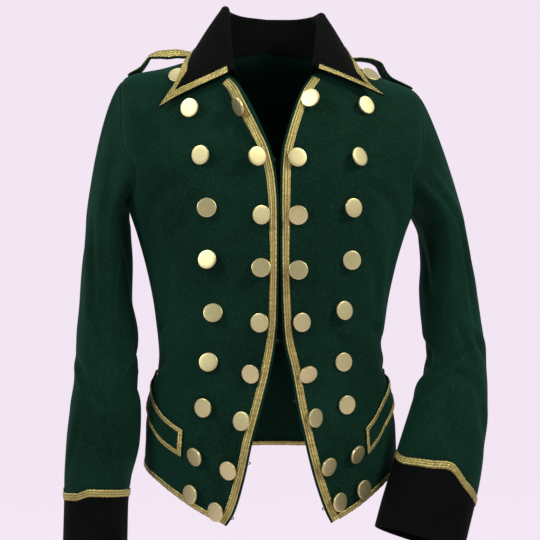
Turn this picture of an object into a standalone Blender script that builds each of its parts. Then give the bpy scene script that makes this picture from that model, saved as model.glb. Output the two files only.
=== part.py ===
# Military jacket: a cut-away coatee of bottle-green wool, worn open and standing hollow.
# Black velvet makes the stand-and-fall collar and the cuffs, gold lace binds the edges, and
# flat brass buttons run down the fronts in four rows.
# Metres, +Z up. The origin is the middle of the neck opening, the front faces -Y and the
# wearer's left is +X. "right" and "left" always mean the wearer's.

import math

import bmesh
import bpy
import numpy as np
from mathutils import Matrix, Vector
from mathutils.bvhtree import BVHTree

CLOTH = 0.0020
VELVET = 0.0020
FLAP_CLOTH = 0.0015
STRAP_CLOTH = 0.0025
LACE = 0.0009
LACE_WIDTH = 0.0095
LACE_INSET = 0.0025
HEM_LACE = 0.0047
FLAP_LACE = 0.0070
SEAM_GAP = 0.0003
LAID_GAP = 0.0003
FLAP_GAP = 0.0009

RIGHT = -1
LEFT = 1

# Cells along a panel: up the front or back edge and then the neck, or up the side seam and
# then the armhole, and across from the edge to the side.
EDGE_ROWS = 19
NECK_ROWS = 5
SIDE_ROWS = 13
ARM_ROWS = 11
CHEST_HEIGHT = -0.285
CHEST_CROWDING = 1.25
ROWS = EDGE_ROWS + NECK_ROWS
COLUMNS = 11

# The wearer's body as level sections, squared towards an oblong by the last column.
BODY_SECTIONS = (
    # height, half_width, front_depth, back_depth, squareness
    (-0.660, 0.180, 0.117, 0.122, 2.20),
    (-0.580, 0.176, 0.115, 0.120, 2.20),
    (-0.518, 0.1745, 0.111, 0.112, 2.20),
    (-0.470, 0.166, 0.107, 0.102, 2.20),
    (-0.420, 0.156, 0.104, 0.094, 2.20),
    (-0.357, 0.162, 0.108, 0.096, 2.25),
    (-0.300, 0.173, 0.116, 0.104, 2.35),
    (-0.253, 0.186, 0.121, 0.110, 2.45),
    (-0.214, 0.199, 0.123, 0.113, 2.60),
    (-0.160, 0.210, 0.120, 0.115, 2.80),
    (-0.100, 0.214, 0.106, 0.111, 2.80),
    (-0.060, 0.2125, 0.088, 0.100, 2.60),
    (-0.045, 0.203, 0.080, 0.094, 2.40),
    (-0.030, 0.157, 0.072, 0.084, 2.25),
    (-0.015, 0.119, 0.062, 0.072, 2.10),
    (0.000, 0.078, 0.052, 0.062, 2.00),
    (0.012, 0.060, 0.045, 0.058, 2.00),
)

# How far each front's free edge lies from the centre plane.
FRONT_EDGES = (
    # height, right, left
    (-0.640, 0.0740, 0.0750),
    (-0.615, 0.0580, 0.0620),
    (-0.570, 0.0445, 0.0465),
    (-0.525, 0.0345, 0.0355),
    (-0.480, 0.0222, 0.0256),
    (-0.435, 0.0106, 0.0178),
    (-0.391, 0.0032, 0.0080),
    (-0.360, 0.0012, 0.0056),
    (-0.300, 0.0010, 0.0030),
    (-0.220, 0.0015, 0.0016),
    (-0.184, 0.0040, 0.0020),
    (-0.148, 0.0105, 0.0045),
    (-0.120, 0.0212, 0.0115),
    (-0.093, 0.0326, 0.0205),
    (-0.065, 0.0460, 0.0320),
    (-0.036, 0.0650, 0.0520),
)

# The right front rolls open at the top: its lace leaves the edge and lies on the
# crest's outer slope.
RIGHT_ROLL = (
    # height, crest, lace_inset
    (-0.180, 0.000, 0.0025),
    (-0.150, 0.003, 0.0035),
    (-0.105, 0.014, 0.0075),
    (-0.075, 0.016, 0.0095),
    (-0.052, 0.0065, 0.0080),
    (-0.030, 0.000, 0.0060),
)
ROLL_INNER = 0.009
ROLL_OUTER = 0.012
CREST_SHIFT = 0.0035

# The hem dips to the front points and runs level round the back.
HEM = (
    # angle, height
    (25, -0.643),
    (33, -0.630),
    (48, -0.611),
    (61, -0.592),
    (72, -0.578),
    (85, -0.569),
    (100, -0.565),
    (180, -0.563),
)

NECK_CORNER = {RIGHT: -0.050, LEFT: -0.042}
NECK_BEND = (0.080, -0.055, -0.012)
NECK_POINT = 0.078
NECK_FIRST = 0.10
NAPE_HEIGHT = 0.012
NAPE_BEND = (0.072, 0.056, 0.009)
SIDE_SEAM = 100
ARMPIT_ANGLE = 97
ARMPIT_HEIGHT = -0.216
SHOULDER_HEIGHT = -0.045

FRONT_ARMHOLE = (
    # share, angle, height
    (0.00, 97, -0.216),
    (0.20, 80, -0.2105),
    (0.36, 70, -0.194),
    (0.46, 68, -0.172),
    (0.60, 75, -0.138),
    (0.78, 78, -0.090),
    (0.91, 84, -0.054),
    (1.00, 90, -0.044),
)
BACK_ARMHOLE = (
    # share, angle, height
    (0.00, 97, -0.216),
    (0.20, 106, -0.203),
    (0.40, 110, -0.172),
    (0.60, 109, -0.130),
    (0.80, 104, -0.083),
    (0.91, 97, -0.054),
    (1.00, 90, -0.044),
)

# The wearer's left shoulder hangs a little lower than the right one.
SHOULDER_TILT = 0.007
TILT_START = 0.080
TILT_REACH = 0.130
TILT_LOW = -0.300
TILT_HIGH = -0.080

# The largest soft folds, each a long hollow laid on the body.
FOLDS = (
    # angle, height, lean, half_length, half_width, depth
    (-68, -0.255, 12, 0.060, 0.014, 0.0045),
    (68, -0.260, -12, 0.070, 0.014, 0.0045),
    (-62, -0.436, 62, 0.040, 0.012, 0.0030),
    (50, -0.415, -55, 0.055, 0.012, 0.0035),
    (80, -0.398, -75, 0.040, 0.010, 0.0030),
    (-112, -0.270, -10, 0.060, 0.015, 0.0040),
    (114, -0.265, 10, 0.055, 0.015, 0.0040),
    (-135, -0.420, -65, 0.050, 0.013, 0.0035),
    (140, -0.425, 60, 0.050, 0.013, 0.0035),
)
FOLD_RADIUS = 0.150

# Each sleeve's tube below the armpit: its centre line and its half sizes, square to that line.
# The fold is the crease that stands along the front of the upper arm.
SLEEVES = {
    RIGHT: (
        # height, out, forward, half_across, half_deep, fold
        (-0.720, 0.2405, 0.052, 0.0430, 0.0420, 0.0000),
        (-0.620, 0.2390, 0.046, 0.0425, 0.0430, 0.0000),
        (-0.578, 0.2370, 0.041, 0.0445, 0.0450, 0.0000),
        (-0.527, 0.2300, 0.034, 0.0490, 0.0480, 0.0005),
        (-0.485, 0.2275, 0.028, 0.0475, 0.0500, 0.0010),
        (-0.445, 0.2280, 0.022, 0.0420, 0.0545, 0.0015),
        (-0.395, 0.2260, 0.014, 0.0420, 0.0570, 0.0020),
        (-0.340, 0.2280, 0.006, 0.0360, 0.0630, 0.0035),
        (-0.290, 0.2265, 0.000, 0.0345, 0.0660, 0.0045),
        (-0.245, 0.2255, -0.005, 0.0305, 0.0690, 0.0040),
        (-0.200, 0.2240, -0.008, 0.0280, 0.0700, 0.0030),
    ),
    LEFT: (
        # height, out, forward, half_across, half_deep, fold
        (-0.720, 0.1640, 0.126, 0.0600, 0.0430, 0.0000),
        (-0.630, 0.1945, 0.100, 0.0605, 0.0450, 0.0000),
        (-0.572, 0.2150, 0.084, 0.0590, 0.0460, 0.0000),
        (-0.509, 0.2350, 0.062, 0.0535, 0.0490, 0.0000),
        (-0.474, 0.2455, 0.047, 0.0490, 0.0510, 0.0000),
        (-0.441, 0.2545, 0.031, 0.0430, 0.0540, 0.0005),
        (-0.416, 0.2575, 0.022, 0.0395, 0.0560, 0.0025),
        (-0.374, 0.2535, 0.012, 0.0400, 0.0590, 0.0045),
        (-0.330, 0.2500, 0.006, 0.0385, 0.0620, 0.0050),
        (-0.290, 0.2485, 0.001, 0.0335, 0.0650, 0.0050),
        (-0.245, 0.2435, -0.004, 0.0300, 0.0690, 0.0040),
        (-0.200, 0.2380, -0.008, 0.0280, 0.0700, 0.0030),
    ),
}
CREASE_ANGLE = 72
CREASE_WIDTH = 20
CREASE_PEAK = 1.6
CREASE_DIP = 0.6
CREASE_DIP_SPREAD = 2.5
CAP_RISE = 0.003
CAP_STEPS = (0.12, 0.30, 0.52, 0.76)
CAP_SPRING_LOW = 0.008
CAP_SPRING_HIGH = 0.115
CAP_SWING = 0.020
CAP_PULL = 0.78
SLEEVE_HEIGHTS = (-0.245, -0.290, -0.335, -0.378, -0.416, -0.452, -0.495, -0.540)
CUFF_SEAM = {RIGHT: -0.593, LEFT: -0.570}
CUFF_FOOT = {RIGHT: -0.684, LEFT: -0.655}
CUFF_ROWS = 3
CUFF_WAVE = (
    # angle, right, left
    (0, 0.000, 0.010),
    (36, 0.000, 0.000),
    (72, 0.000, 0.002),
    (95, 0.000, 0.006),
    (125, -0.006, -0.008),
    (165, -0.007, -0.018),
    (180, -0.002, -0.019),
    (270, 0.000, -0.006),
    (360, 0.000, 0.010),
)

# The collar's crease line and the fall's lower edge, from the front (0) to the centre back (1).
COLLARS = {
    RIGHT: (
        # share, roll_x, roll_y, roll_z, edge_x, edge_y, edge_z
        (0.0, 0.059, -0.087, -0.040, 0.154, -0.094, -0.090),
        (0.2, 0.064, -0.056, 0.014, 0.129, -0.072, -0.057),
        (0.4, 0.065, -0.018, 0.057, 0.108, -0.018, -0.004),
        (0.6, 0.061, 0.021, 0.061, 0.091, 0.036, 0.009),
        (0.8, 0.038, 0.054, 0.060, 0.054, 0.072, 0.007),
        (1.0, 0.000, 0.067, 0.059, 0.000, 0.085, 0.006),
    ),
    LEFT: (
        # share, roll_x, roll_y, roll_z, edge_x, edge_y, edge_z
        (0.0, 0.051, -0.081, -0.032, 0.140, -0.096, -0.071),
        (0.2, 0.061, -0.054, 0.013, 0.117, -0.072, -0.045),
        (0.4, 0.069, -0.017, 0.051, 0.100, -0.018, 0.003),
        (0.6, 0.065, 0.021, 0.055, 0.089, 0.036, 0.012),
        (0.8, 0.039, 0.054, 0.057, 0.054, 0.072, 0.009),
        (1.0, 0.000, 0.067, 0.059, 0.000, 0.085, 0.006),
    ),
}
ROLL_SHARES = (0.0, 0.05, 0.2, 0.3, 0.4, 0.5, 0.6, 0.7, 0.8, 0.9, 1.0)
EDGE_SHARES = (0.0, 0.09, 0.2, 0.3, 0.4, 0.5, 0.6, 0.7, 0.8, 0.9, 1.0)
STAND_SPRING = 0.006
COLLAR_FOLD = 0.0040
FOLD_TURNS = (60, 120)
FALL_SHARES = (0.0, 0.35, 0.70)
FALL_CLEARANCE = 0.0080
CREASE_CLEARANCE = 0.0015

# The shoulder straps arch off the shoulder between the collar and the armhole seam. The rise is
# at the strap's middle, the roll is its tilt from level, and the droop is that of its front border.
STRAPS = {
    RIGHT: (
        # share, out, rise, roll, droop
        (0.00, 0.101, 0.0018, 3, 5),
        (0.13, 0.114, 0.0115, 5, 40),
        (0.38, 0.135, 0.0215, 8, 72),
        (0.60, 0.156, 0.0255, 8, 60),
        (0.73, 0.167, 0.0225, 6, 25),
        (0.82, 0.173, 0.0140, 4, 6),
        (0.90, 0.181, 0.0055, 2, 2),
        (1.00, 0.197, 0.0004, 0, 0),
    ),
    LEFT: (
        # share, out, rise, roll, droop
        (0.00, 0.098, 0.0012, 2, 2),
        (0.13, 0.110, 0.0065, 4, 4),
        (0.34, 0.128, 0.0150, 6, 8),
        (0.52, 0.144, 0.0215, 6, 10),
        (0.62, 0.152, 0.0205, 4, 6),
        (0.72, 0.159, 0.0120, 2, 2),
        (0.84, 0.170, 0.0040, 0, 0),
        (1.00, 0.197, 0.0010, 0, 0),
    ),
}
STRAP_WIDTH = 0.038
STRAP_EDGE = 0.0025
STRAP_ROWS = 9
STRAP_Y = 0.004
SHOULDER_STEPS = 40

# The slanted pocket flaps, from the front end back to the side seam.
POCKET_FLAPS = (
    # share, upper, lower, right_angle, left_angle
    (0.00, -0.511, -0.546, 56, 54),
    (0.25, -0.497, -0.532, 66, 60),
    (0.50, -0.480, -0.512, 76, 67),
    (0.75, -0.462, -0.494, 86, 77),
    (1.00, -0.442, -0.474, 97, 94),
)
FLAP_COLUMNS = 8
FLAP_FIRST = 0.07

BUTTON_RADIUS = 0.0125
BUTTON_SIDES = 12
BUTTON_PROFILE = (
    # radius, height
    (0.0035, 0.0003),
    (0.0120, 0.0015),
    (0.0125, 0.0024),
    (0.0116, 0.0032),
)
BUTTON_SAMPLES = 60
BUTTON_SEATS = (0.0, 0.004, 0.007, 0.009, 0.0105, 0.012, 0.0125)
BUTTON_REACH = 0.020
BUTTON_SHARP = math.radians(30)
CLOTH_SHARP = math.radians(40)
OUTER_BUTTONS = (
    # right_out, right_height, left_out, left_height
    (0.130, -0.046, 0.130, -0.035),
    (0.114, -0.093, 0.117, -0.083),
    (0.100, -0.154, 0.104, -0.154),
    (0.093, -0.221, 0.096, -0.220),
    (0.091, -0.287, 0.096, -0.288),
    (0.083, -0.357, 0.087, -0.354),
    (0.089, -0.422, 0.088, -0.423),
    (0.096, -0.481, 0.091, -0.479),
    (0.106, -0.544, 0.103, -0.544),
    (0.112, -0.593, 0.113, -0.591),
)
INNER_BUTTONS = (
    # right_out, right_height, left_out, left_height
    (0.048, -0.094, 0.043, -0.079),
    (0.029, -0.156, 0.023, -0.156),
    (0.0224, -0.230, 0.024, -0.230),
    (0.0232, -0.298, 0.025, -0.301),
    (0.0237, -0.369, 0.030, -0.369),
    (0.035, -0.436, 0.038, -0.437),
    (0.047, -0.497, 0.047, -0.494),
    (0.064, -0.560, 0.064, -0.557),
    (0.0796, -0.613, 0.0786, -0.604),
)

MATERIALS = {
    # name: colour, roughness, metallic
    "wool": ((0.008, 0.042, 0.025, 1), 0.95, 0.0),
    "velvet": ((0.004, 0.005, 0.005, 1), 0.85, 0.0),
    "lace": ((0.56, 0.42, 0.13, 1), 0.45, 0.8),
    "brass": ((0.66, 0.58, 0.38, 1), 0.35, 1.0),
}


# Small helpers for tables and vectors.

def read_table(rows):
    # Reads a table by its first column, smoothly and without overshoot between its rows.
    table = np.array(rows, dtype=float)
    place = table[:, 0]
    values = table[:, 1:]
    widths = np.diff(place)[:, None]
    rates = np.diff(values, axis=0) / widths
    product = rates[:-1] * rates[1:]
    total = np.where(product > 0, rates[:-1] + rates[1:], 1.0)
    inner = np.where(product > 0, 2 * product / total, 0.0)
    slopes = np.vstack((rates[:1], inner, rates[-1:]))

    def read(position):
        position = np.clip(np.asarray(position, dtype=float), place[0], place[-1])
        cell = np.clip(np.searchsorted(place, position) - 1, 0, len(place) - 2)
        width = widths[cell]
        t = (position - place[cell])[..., None] / width
        start = values[cell] * (1 + 2 * t) * (1 - t) ** 2 + slopes[cell] * width * t * (1 - t) ** 2
        end = values[cell + 1] * t * t * (3 - 2 * t) + slopes[cell + 1] * width * t * t * (t - 1)
        return start + end

    return read


def unit(vectors):
    return vectors / np.linalg.norm(vectors, axis=-1, keepdims=True)


def smooth_step(low, high, value):
    t = np.clip((value - low) / (high - low), 0, 1)
    return t * t * (3 - 2 * t)


def hermite(start, start_pull, end, end_pull, t):
    return (start * (1 + 2 * t) * (1 - t) ** 2 + start_pull * t * (1 - t) ** 2
            + end * t * t * (3 - 2 * t) + end_pull * t * t * (t - 1))


def bend_curve(start, bend, end, shares):
    t = np.asarray(shares)[:, None]
    return (1 - t) ** 2 * start + 2 * t * (1 - t) * bend + t * t * end


# The body's surface, and the jacket as it is worn on it.

body_section = read_table(BODY_SECTIONS)
front_edges = read_table(FRONT_EDGES)
right_roll = read_table(RIGHT_ROLL)
hem_height = read_table(HEM)
PROBE = 0.0005
TUBE_PROBE = 0.005
SETTLE_STEPS = 14
HEM_SEARCH = 400


def body_level(points):
    # Zero on the body's surface, positive outside it.
    half, front, back, power = np.moveaxis(body_section(points[..., 2]), -1, 0)
    depth = np.where(points[..., 1] < 0, front, back)
    across = np.abs(points[..., 0] / half) ** power
    ahead = np.abs(points[..., 1] / depth) ** power
    return (across + ahead) ** (1 / power) - 1


def body_slope(points):
    steps = PROBE * np.eye(3)
    rises = [body_level(points + step) - body_level(points - step) for step in steps]
    return np.stack(rises, axis=-1) / (2 * PROBE)


def settle(points):
    # Brings points near the body onto its surface.
    points = np.array(points, dtype=float)
    for _ in range(SETTLE_STEPS):
        slope = body_slope(points)
        points -= slope * (body_level(points) / (slope ** 2).sum(axis=-1))[..., None]
    return points


def on_body(angle, height):
    # A surface point by its angle from straight ahead, in degrees, and its height.
    angle = np.radians(angle)
    height = height + 0.0 * angle
    half, front, back, power = np.moveaxis(body_section(height), -1, 0)
    depth = np.where(np.cos(angle) > 0, front, back)
    across = np.abs(np.sin(angle) / half) ** power
    ahead = np.abs(np.cos(angle) / depth) ** power
    reach = (across + ahead) ** (-1 / power)
    return np.stack((reach * np.sin(angle), -reach * np.cos(angle), height), axis=-1)


def on_front(out, height):
    # A surface point of the front by its distance from the centre plane and its height.
    half, front, _, power = np.moveaxis(body_section(height), -1, 0)
    ahead = front * (1 - np.abs(out / half) ** power) ** (1 / power)
    return np.stack((out, -ahead, height + 0 * out), axis=-1)


def roll_lift(points):
    # The crest of the rolled top of the right front.
    height = points[..., 2]
    crest, inset = np.moveaxis(right_roll(height), -1, 0)
    crest_place = front_edges(height)[..., 0] + inset + LACE_WIDTH / 2 - CREST_SHIFT
    from_crest = -points[..., 0] - crest_place
    spread = np.where(from_crest < 0, ROLL_INNER, ROLL_OUTER)
    on_right_front = (points[..., 0] < 0) & (points[..., 1] < 0)
    return np.where(on_right_front, crest * np.exp(-(from_crest / spread) ** 2), 0)


def fold_lift(points):
    angle = np.degrees(np.arctan2(points[..., 0], -points[..., 1]))
    lift = np.zeros_like(angle)
    for fold_angle, height, lean, half_length, half_width, depth in FOLDS:
        turn = (angle - fold_angle + 180) % 360 - 180
        aside = np.radians(turn) * FOLD_RADIUS
        above = points[..., 2] - height
        cosine, sine = math.cos(math.radians(lean)), math.sin(math.radians(lean))
        along = above * cosine + aside * sine
        across = aside * cosine - above * sine
        lift -= depth * np.exp(-(along / half_length) ** 2 - (across / half_width) ** 2)
    return lift


def worn_points(points):
    lift = roll_lift(points) + fold_lift(points)
    shaped = points + unit(body_slope(points)) * lift[..., None]
    out = smooth_step(TILT_START, TILT_START + TILT_REACH, np.abs(points[..., 0]))
    drop = SHOULDER_TILT * np.sign(points[..., 0]) * out * smooth_step(TILT_LOW, TILT_HIGH, points[..., 2])
    shaped[..., 2] -= drop
    return shaped


def worn(points):
    # The cloth's outer face over points of the body, and its outward normals.
    normal = unit(body_slope(points))
    aside = unit(np.cross((0.0, 0.0, 1.0), normal))
    upward = np.cross(normal, aside)
    step = 2 * PROBE
    change_aside = worn_points(settle(points + aside * step)) - worn_points(settle(points - aside * step))
    change_up = worn_points(settle(points + upward * step)) - worn_points(settle(points - upward * step))
    return worn_points(points), unit(np.cross(change_aside, change_up))


# The panels: each is a grid of points with the same rows and columns.

def even(start, end, cells):
    return np.linspace(start, end, cells + 1)


def hemmed_rows(start, end, cells):
    # Rows up a seam, of which the first is as high as the hem's lace.
    return np.concatenate(((start,), even(start + HEM_LACE, end, cells - 1)))


def edge_rows(start, end):
    # Rows up a front or back edge: those level with the side seam end at the chest, so that
    # the rows above them fan out round the armhole.
    below = hemmed_rows(start, CHEST_HEIGHT, SIDE_ROWS)
    share = even(0, 1, EDGE_ROWS - SIDE_ROWS)[1:]
    return np.concatenate((below, CHEST_HEIGHT + (end - CHEST_HEIGHT) * share ** CHEST_CROWDING))


def neck_shares():
    return np.concatenate(((0.0,), even(NECK_FIRST, 1.0, NECK_ROWS - 1)))


def hem_corner(side):
    # The height where the front edge reaches the hem.
    column = 0 if side == RIGHT else 1
    heights = np.linspace(FRONT_EDGES[0][0], FRONT_EDGES[3][0], HEM_SEARCH)
    points = on_front(front_edges(heights)[:, column], heights)
    angles = np.degrees(np.arctan2(points[:, 0], -points[:, 1]))
    return heights[np.argmin(np.abs(heights - hem_height(angles)[:, 0]))]


def front_boundaries(side):
    column = 0 if side == RIGHT else 1
    foot = hem_corner(side)
    heights = edge_rows(foot, NECK_CORNER[side])
    edge = on_front(front_edges(heights)[:, column], heights)
    neck_end = np.array((NECK_POINT, 0.0, 0.0))
    neck = bend_curve(edge[-1], np.array(NECK_BEND), neck_end, neck_shares())
    inner = np.vstack((edge, neck[1:]))
    start_angle = math.degrees(math.atan2(edge[0, 0], -edge[0, 1]))
    hem_angles = even(start_angle, SIDE_SEAM, COLUMNS)
    return inner, seam_side(FRONT_ARMHOLE), hem_angles


def back_boundaries(side):
    heights = edge_rows(hem_height(180)[0], NAPE_HEIGHT)
    edge = on_body(np.full(EDGE_ROWS + 1, 180.0), heights)
    neck_end = np.array((NECK_POINT, 0.0, 0.0))
    neck = bend_curve(edge[-1], np.array(NAPE_BEND), neck_end, even(0, 1, NECK_ROWS))
    return np.vstack((edge, neck[1:])), seam_side(BACK_ARMHOLE), even(180, SIDE_SEAM, COLUMNS)


def seam_side(armhole):
    # Up the side seam and round half the armhole to the shoulder.
    heights = hemmed_rows(hem_height(SIDE_SEAM)[0], ARMPIT_HEIGHT, SIDE_ROWS)
    share = np.linspace(0, 1, SIDE_ROWS + 1)
    seam = on_body(SIDE_SEAM + (ARMPIT_ANGLE - SIDE_SEAM) * share, heights)
    arm = read_table(armhole)(even(0, 1, ARM_ROWS))
    return np.vstack((seam, on_body(arm[1:, 0], arm[1:, 1])))


def lace_inset(side, height):
    return right_roll(height)[..., 1] if side == RIGHT else LACE_INSET + 0 * height


def lace_columns(side, inner, outer):
    # Shares of each row's length for the lace's two edges, then evenly on to the side.
    shares = np.tile(even(0, 1, COLUMNS), (ROWS + 1, 1))
    for row in range(ROWS + 1):
        inset = lace_inset(side, inner[row, 2])
        length = np.linalg.norm(outer[row] - inner[row])
        first = inset / length
        second = (inset + LACE_WIDTH) / length
        laced = np.concatenate(((0, first), even(second, 1, COLUMNS - 2)))
        above_neck = max(0, row - EDGE_ROWS) / NECK_ROWS
        shares[row] = laced * (1 - above_neck) + shares[row] * above_neck
    return shares


def panel(side, front):
    # The panel's outer face and normals, before any seam gap is opened.
    inner, outer, hem_angles = front_boundaries(side) if front else back_boundaries(side)
    bottom = on_body(hem_angles, hem_height(hem_angles)[:, 0])
    bottom[0] = inner[0]
    bottom[-1] = outer[0]
    top_shares = even(0, 1, COLUMNS)[:, None]
    top = inner[-1] * (1 - top_shares) + outer[-1] * top_shares
    top = settle(top)
    shares = lace_columns(side, inner, outer) if front else np.tile(even(0, 1, COLUMNS), (ROWS + 1, 1))
    up = np.linspace(0, 1, ROWS + 1)[:, None]
    grid = np.empty((ROWS + 1, COLUMNS + 1, 3))
    plain = even(0, 1, COLUMNS)
    for column in range(COLUMNS + 1):
        u = shares[:, column:column + 1]
        low = np.stack([np.interp(u[:, 0], plain, bottom[:, axis]) for axis in range(3)], axis=-1)
        high = np.stack([np.interp(u[:, 0], plain, top[:, axis]) for axis in range(3)], axis=-1)
        ruled = inner * (1 - u) + outer * u
        foot_corners = (1 - u) * inner[0] + u * outer[0]
        head_corners = (1 - u) * inner[-1] + u * outer[-1]
        corners = (1 - up) * foot_corners + up * head_corners
        grid[:, column] = ruled + (1 - up) * low + up * high - corners
    grid = settle(grid)
    grid[..., 0] *= side
    return worn(grid)


def seam_direction(line, normals, inside, closed=False):
    # Square to a seam line within the cloth, pointing away from the inside points.
    if closed:
        along = np.roll(line, -1, axis=0) - np.roll(line, 1, axis=0)
    else:
        along = np.gradient(line, axis=0)
    away = unit(np.cross(along, normals))
    return away * np.sign(((line - inside) * away).sum())


def open_seams(points, normals, front):
    # Draws the panel's sewn edges back by half the seam gap.
    moved = points.copy()
    seams = [
        (np.s_[:SIDE_ROWS + 1, -1], np.s_[:SIDE_ROWS + 1, -2]),
        (np.s_[SIDE_ROWS:, -1], np.s_[SIDE_ROWS:, -2]),
        (np.s_[-1, :], np.s_[-2, :]),
        (np.s_[EDGE_ROWS:, 0], np.s_[EDGE_ROWS:, 1]),
    ]
    if not front:
        seams.append((np.s_[:EDGE_ROWS + 1, 0], np.s_[:EDGE_ROWS + 1, 1]))
    for line, inside in seams:
        away = seam_direction(points[line], normals[line], points[inside])
        moved[line] -= away * SEAM_GAP / 2
    return moved


# Solids from grids.

def add_material(piece, name):
    colour, roughness, metallic = MATERIALS[name]
    material = bpy.data.materials.get(name) or bpy.data.materials.new(name)
    material.use_nodes = True
    shader = material.node_tree.nodes["Principled BSDF"]
    shader.inputs["Base Color"].default_value = colour
    shader.inputs["Roughness"].default_value = roughness
    shader.inputs["Metallic"].default_value = metallic
    piece.data.materials.append(material)


def add_piece(name, vertices, faces, material):
    mesh = bpy.data.meshes.new(name)
    mesh.from_pydata([tuple(v) for v in vertices], [], faces)
    shape = bmesh.new()
    shape.from_mesh(mesh)
    bmesh.ops.recalc_face_normals(shape, faces=shape.faces)
    shape.to_mesh(mesh)
    shape.free()
    mesh.shade_smooth()
    mesh.set_sharp_from_angle(angle=CLOTH_SHARP)
    piece = bpy.data.objects.new(name, mesh)
    bpy.context.scene.collection.objects.link(piece)
    add_material(piece, material)
    return piece


def split(a, b, c, d):
    return [(a, b, c), (a, c, d)]


def layered(name, outer, inner, cells, material, ring=False):
    # A closed solid between two grids of points, over the cells named by row and column.
    rows, columns = outer.shape[:2]
    names = {}
    vertices = []

    def vertex(layer, row, column):
        key = (layer, row, column % columns if ring else column)
        if key not in names:
            names[key] = len(vertices)
            vertices.append((outer, inner)[layer][key[1], key[2]])
        return names[key]

    faces = []
    for row, column in sorted(cells):
        corners = ((row, column), (row + 1, column), (row + 1, column + 1), (row, column + 1))
        for layer in (0, 1):
            faces += split(*[vertex(layer, *corner) for corner in corners])
        beyond = ((row, column - 1), (row + 1, column), (row, column + 1), (row - 1, column))
        for step, (next_row, next_column) in enumerate(beyond):
            next_cell = (next_row, next_column % columns if ring else next_column)
            if next_cell in cells:
                continue
            start, end = corners[step], corners[(step + 1) % 4]
            faces += split(vertex(0, *start), vertex(0, *end), vertex(1, *end), vertex(1, *start))
    return add_piece(name, vertices, faces, material)


def all_cells(rows, columns):
    return {(row, column) for row in range(rows) for column in range(columns)}


def grid_normals(points, ring=False):
    # Normals of a grid from its own rows and columns.
    down = np.gradient(points, axis=0)
    if ring:
        around = np.roll(points, -1, axis=1) - np.roll(points, 1, axis=1)
    else:
        around = np.gradient(points, axis=1)
    return unit(np.cross(down, around))


# The pieces.

def side_name(side):
    return "right" if side == RIGHT else "left"


def make_panels(side, faces):
    for part, front in (("front", True), ("back", False)):
        points, normals = faces[part, side]
        outer = open_seams(points, normals, front)
        inner = outer - normals * CLOTH
        layered(f"{part}_{side_name(side)}", outer, inner, all_cells(ROWS, COLUMNS), "wool")


def make_edge_lace(side, faces):
    # One length of lace down the front edge, round the point and along the hem to the centre back.
    front_points, front_normals = faces["front", side]
    back_points, back_normals = faces["back", side]
    points = np.concatenate((front_points, back_points[:, -2::-1]), axis=1)
    normals = np.concatenate((front_normals, back_normals[:, -2::-1]), axis=1)
    points[:, -1] -= np.array((side * -SEAM_GAP / 2, 0, 0))
    cells = {(row, 1) for row in range(EDGE_ROWS)}
    cells |= {(0, column) for column in range(1, 2 * COLUMNS)}
    low = points + normals * LAID_GAP
    high = low + normals * LACE
    layered(f"edge_lace_{side_name(side)}", high, low, cells, "lace")


def armhole_loop(side, faces):
    # The armhole's points, normals and outward seam directions, from the armpit forward and up.
    front_points, front_normals = faces["front", side]
    back_points, back_normals = faces["back", side]
    line = np.concatenate((front_points[SIDE_ROWS:, -1], back_points[-2:SIDE_ROWS:-1, -1]))
    normals = np.concatenate((front_normals[SIDE_ROWS:, -1], back_normals[-2:SIDE_ROWS:-1, -1]))
    inside = np.concatenate((front_points[SIDE_ROWS:, -2], back_points[-2:SIDE_ROWS:-1, -2]))
    return line, normals, seam_direction(line, normals, inside, closed=True)


def sleeve_angles():
    return np.arange(2 * ARM_ROWS) * 180 / ARM_ROWS


def sleeve_surface(side, heights):
    # Tube points at the given centre-line heights, one column for each armhole point.
    read = read_table(SLEEVES[side])
    angle = np.radians(np.broadcast_to(sleeve_angles(), heights.shape))
    out, forward, across, deep, fold = np.moveaxis(read(heights), -1, 0)
    step = np.full(heights.shape, TUBE_PROBE)
    rise = read(heights + step) - read(heights - step)
    axis = unit(np.stack((side * rise[..., 0], -rise[..., 1], 2 * step), axis=-1))
    centre = np.stack((side * out, -forward, heights), axis=-1)
    outward = np.array((side, 0.0, 0.0)) - axis * (axis[..., :1] * side)
    outward = unit(outward)
    ahead = np.cross(axis, outward) * side
    ahead = ahead * np.sign(-ahead[..., 1:2])
    turn = (np.degrees(angle) - CREASE_ANGLE) / CREASE_WIDTH
    ridge = CREASE_PEAK * np.exp(-turn ** 2)
    dip = CREASE_DIP * np.exp(-(turn / CREASE_DIP_SPREAD) ** 2)
    swell = fold * (ridge - dip)
    along_out = -np.cos(angle) * (across + swell)
    along_ahead = np.sin(angle) * (deep + swell)
    return centre + outward * along_out[..., None] + ahead * along_ahead[..., None], axis


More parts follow.
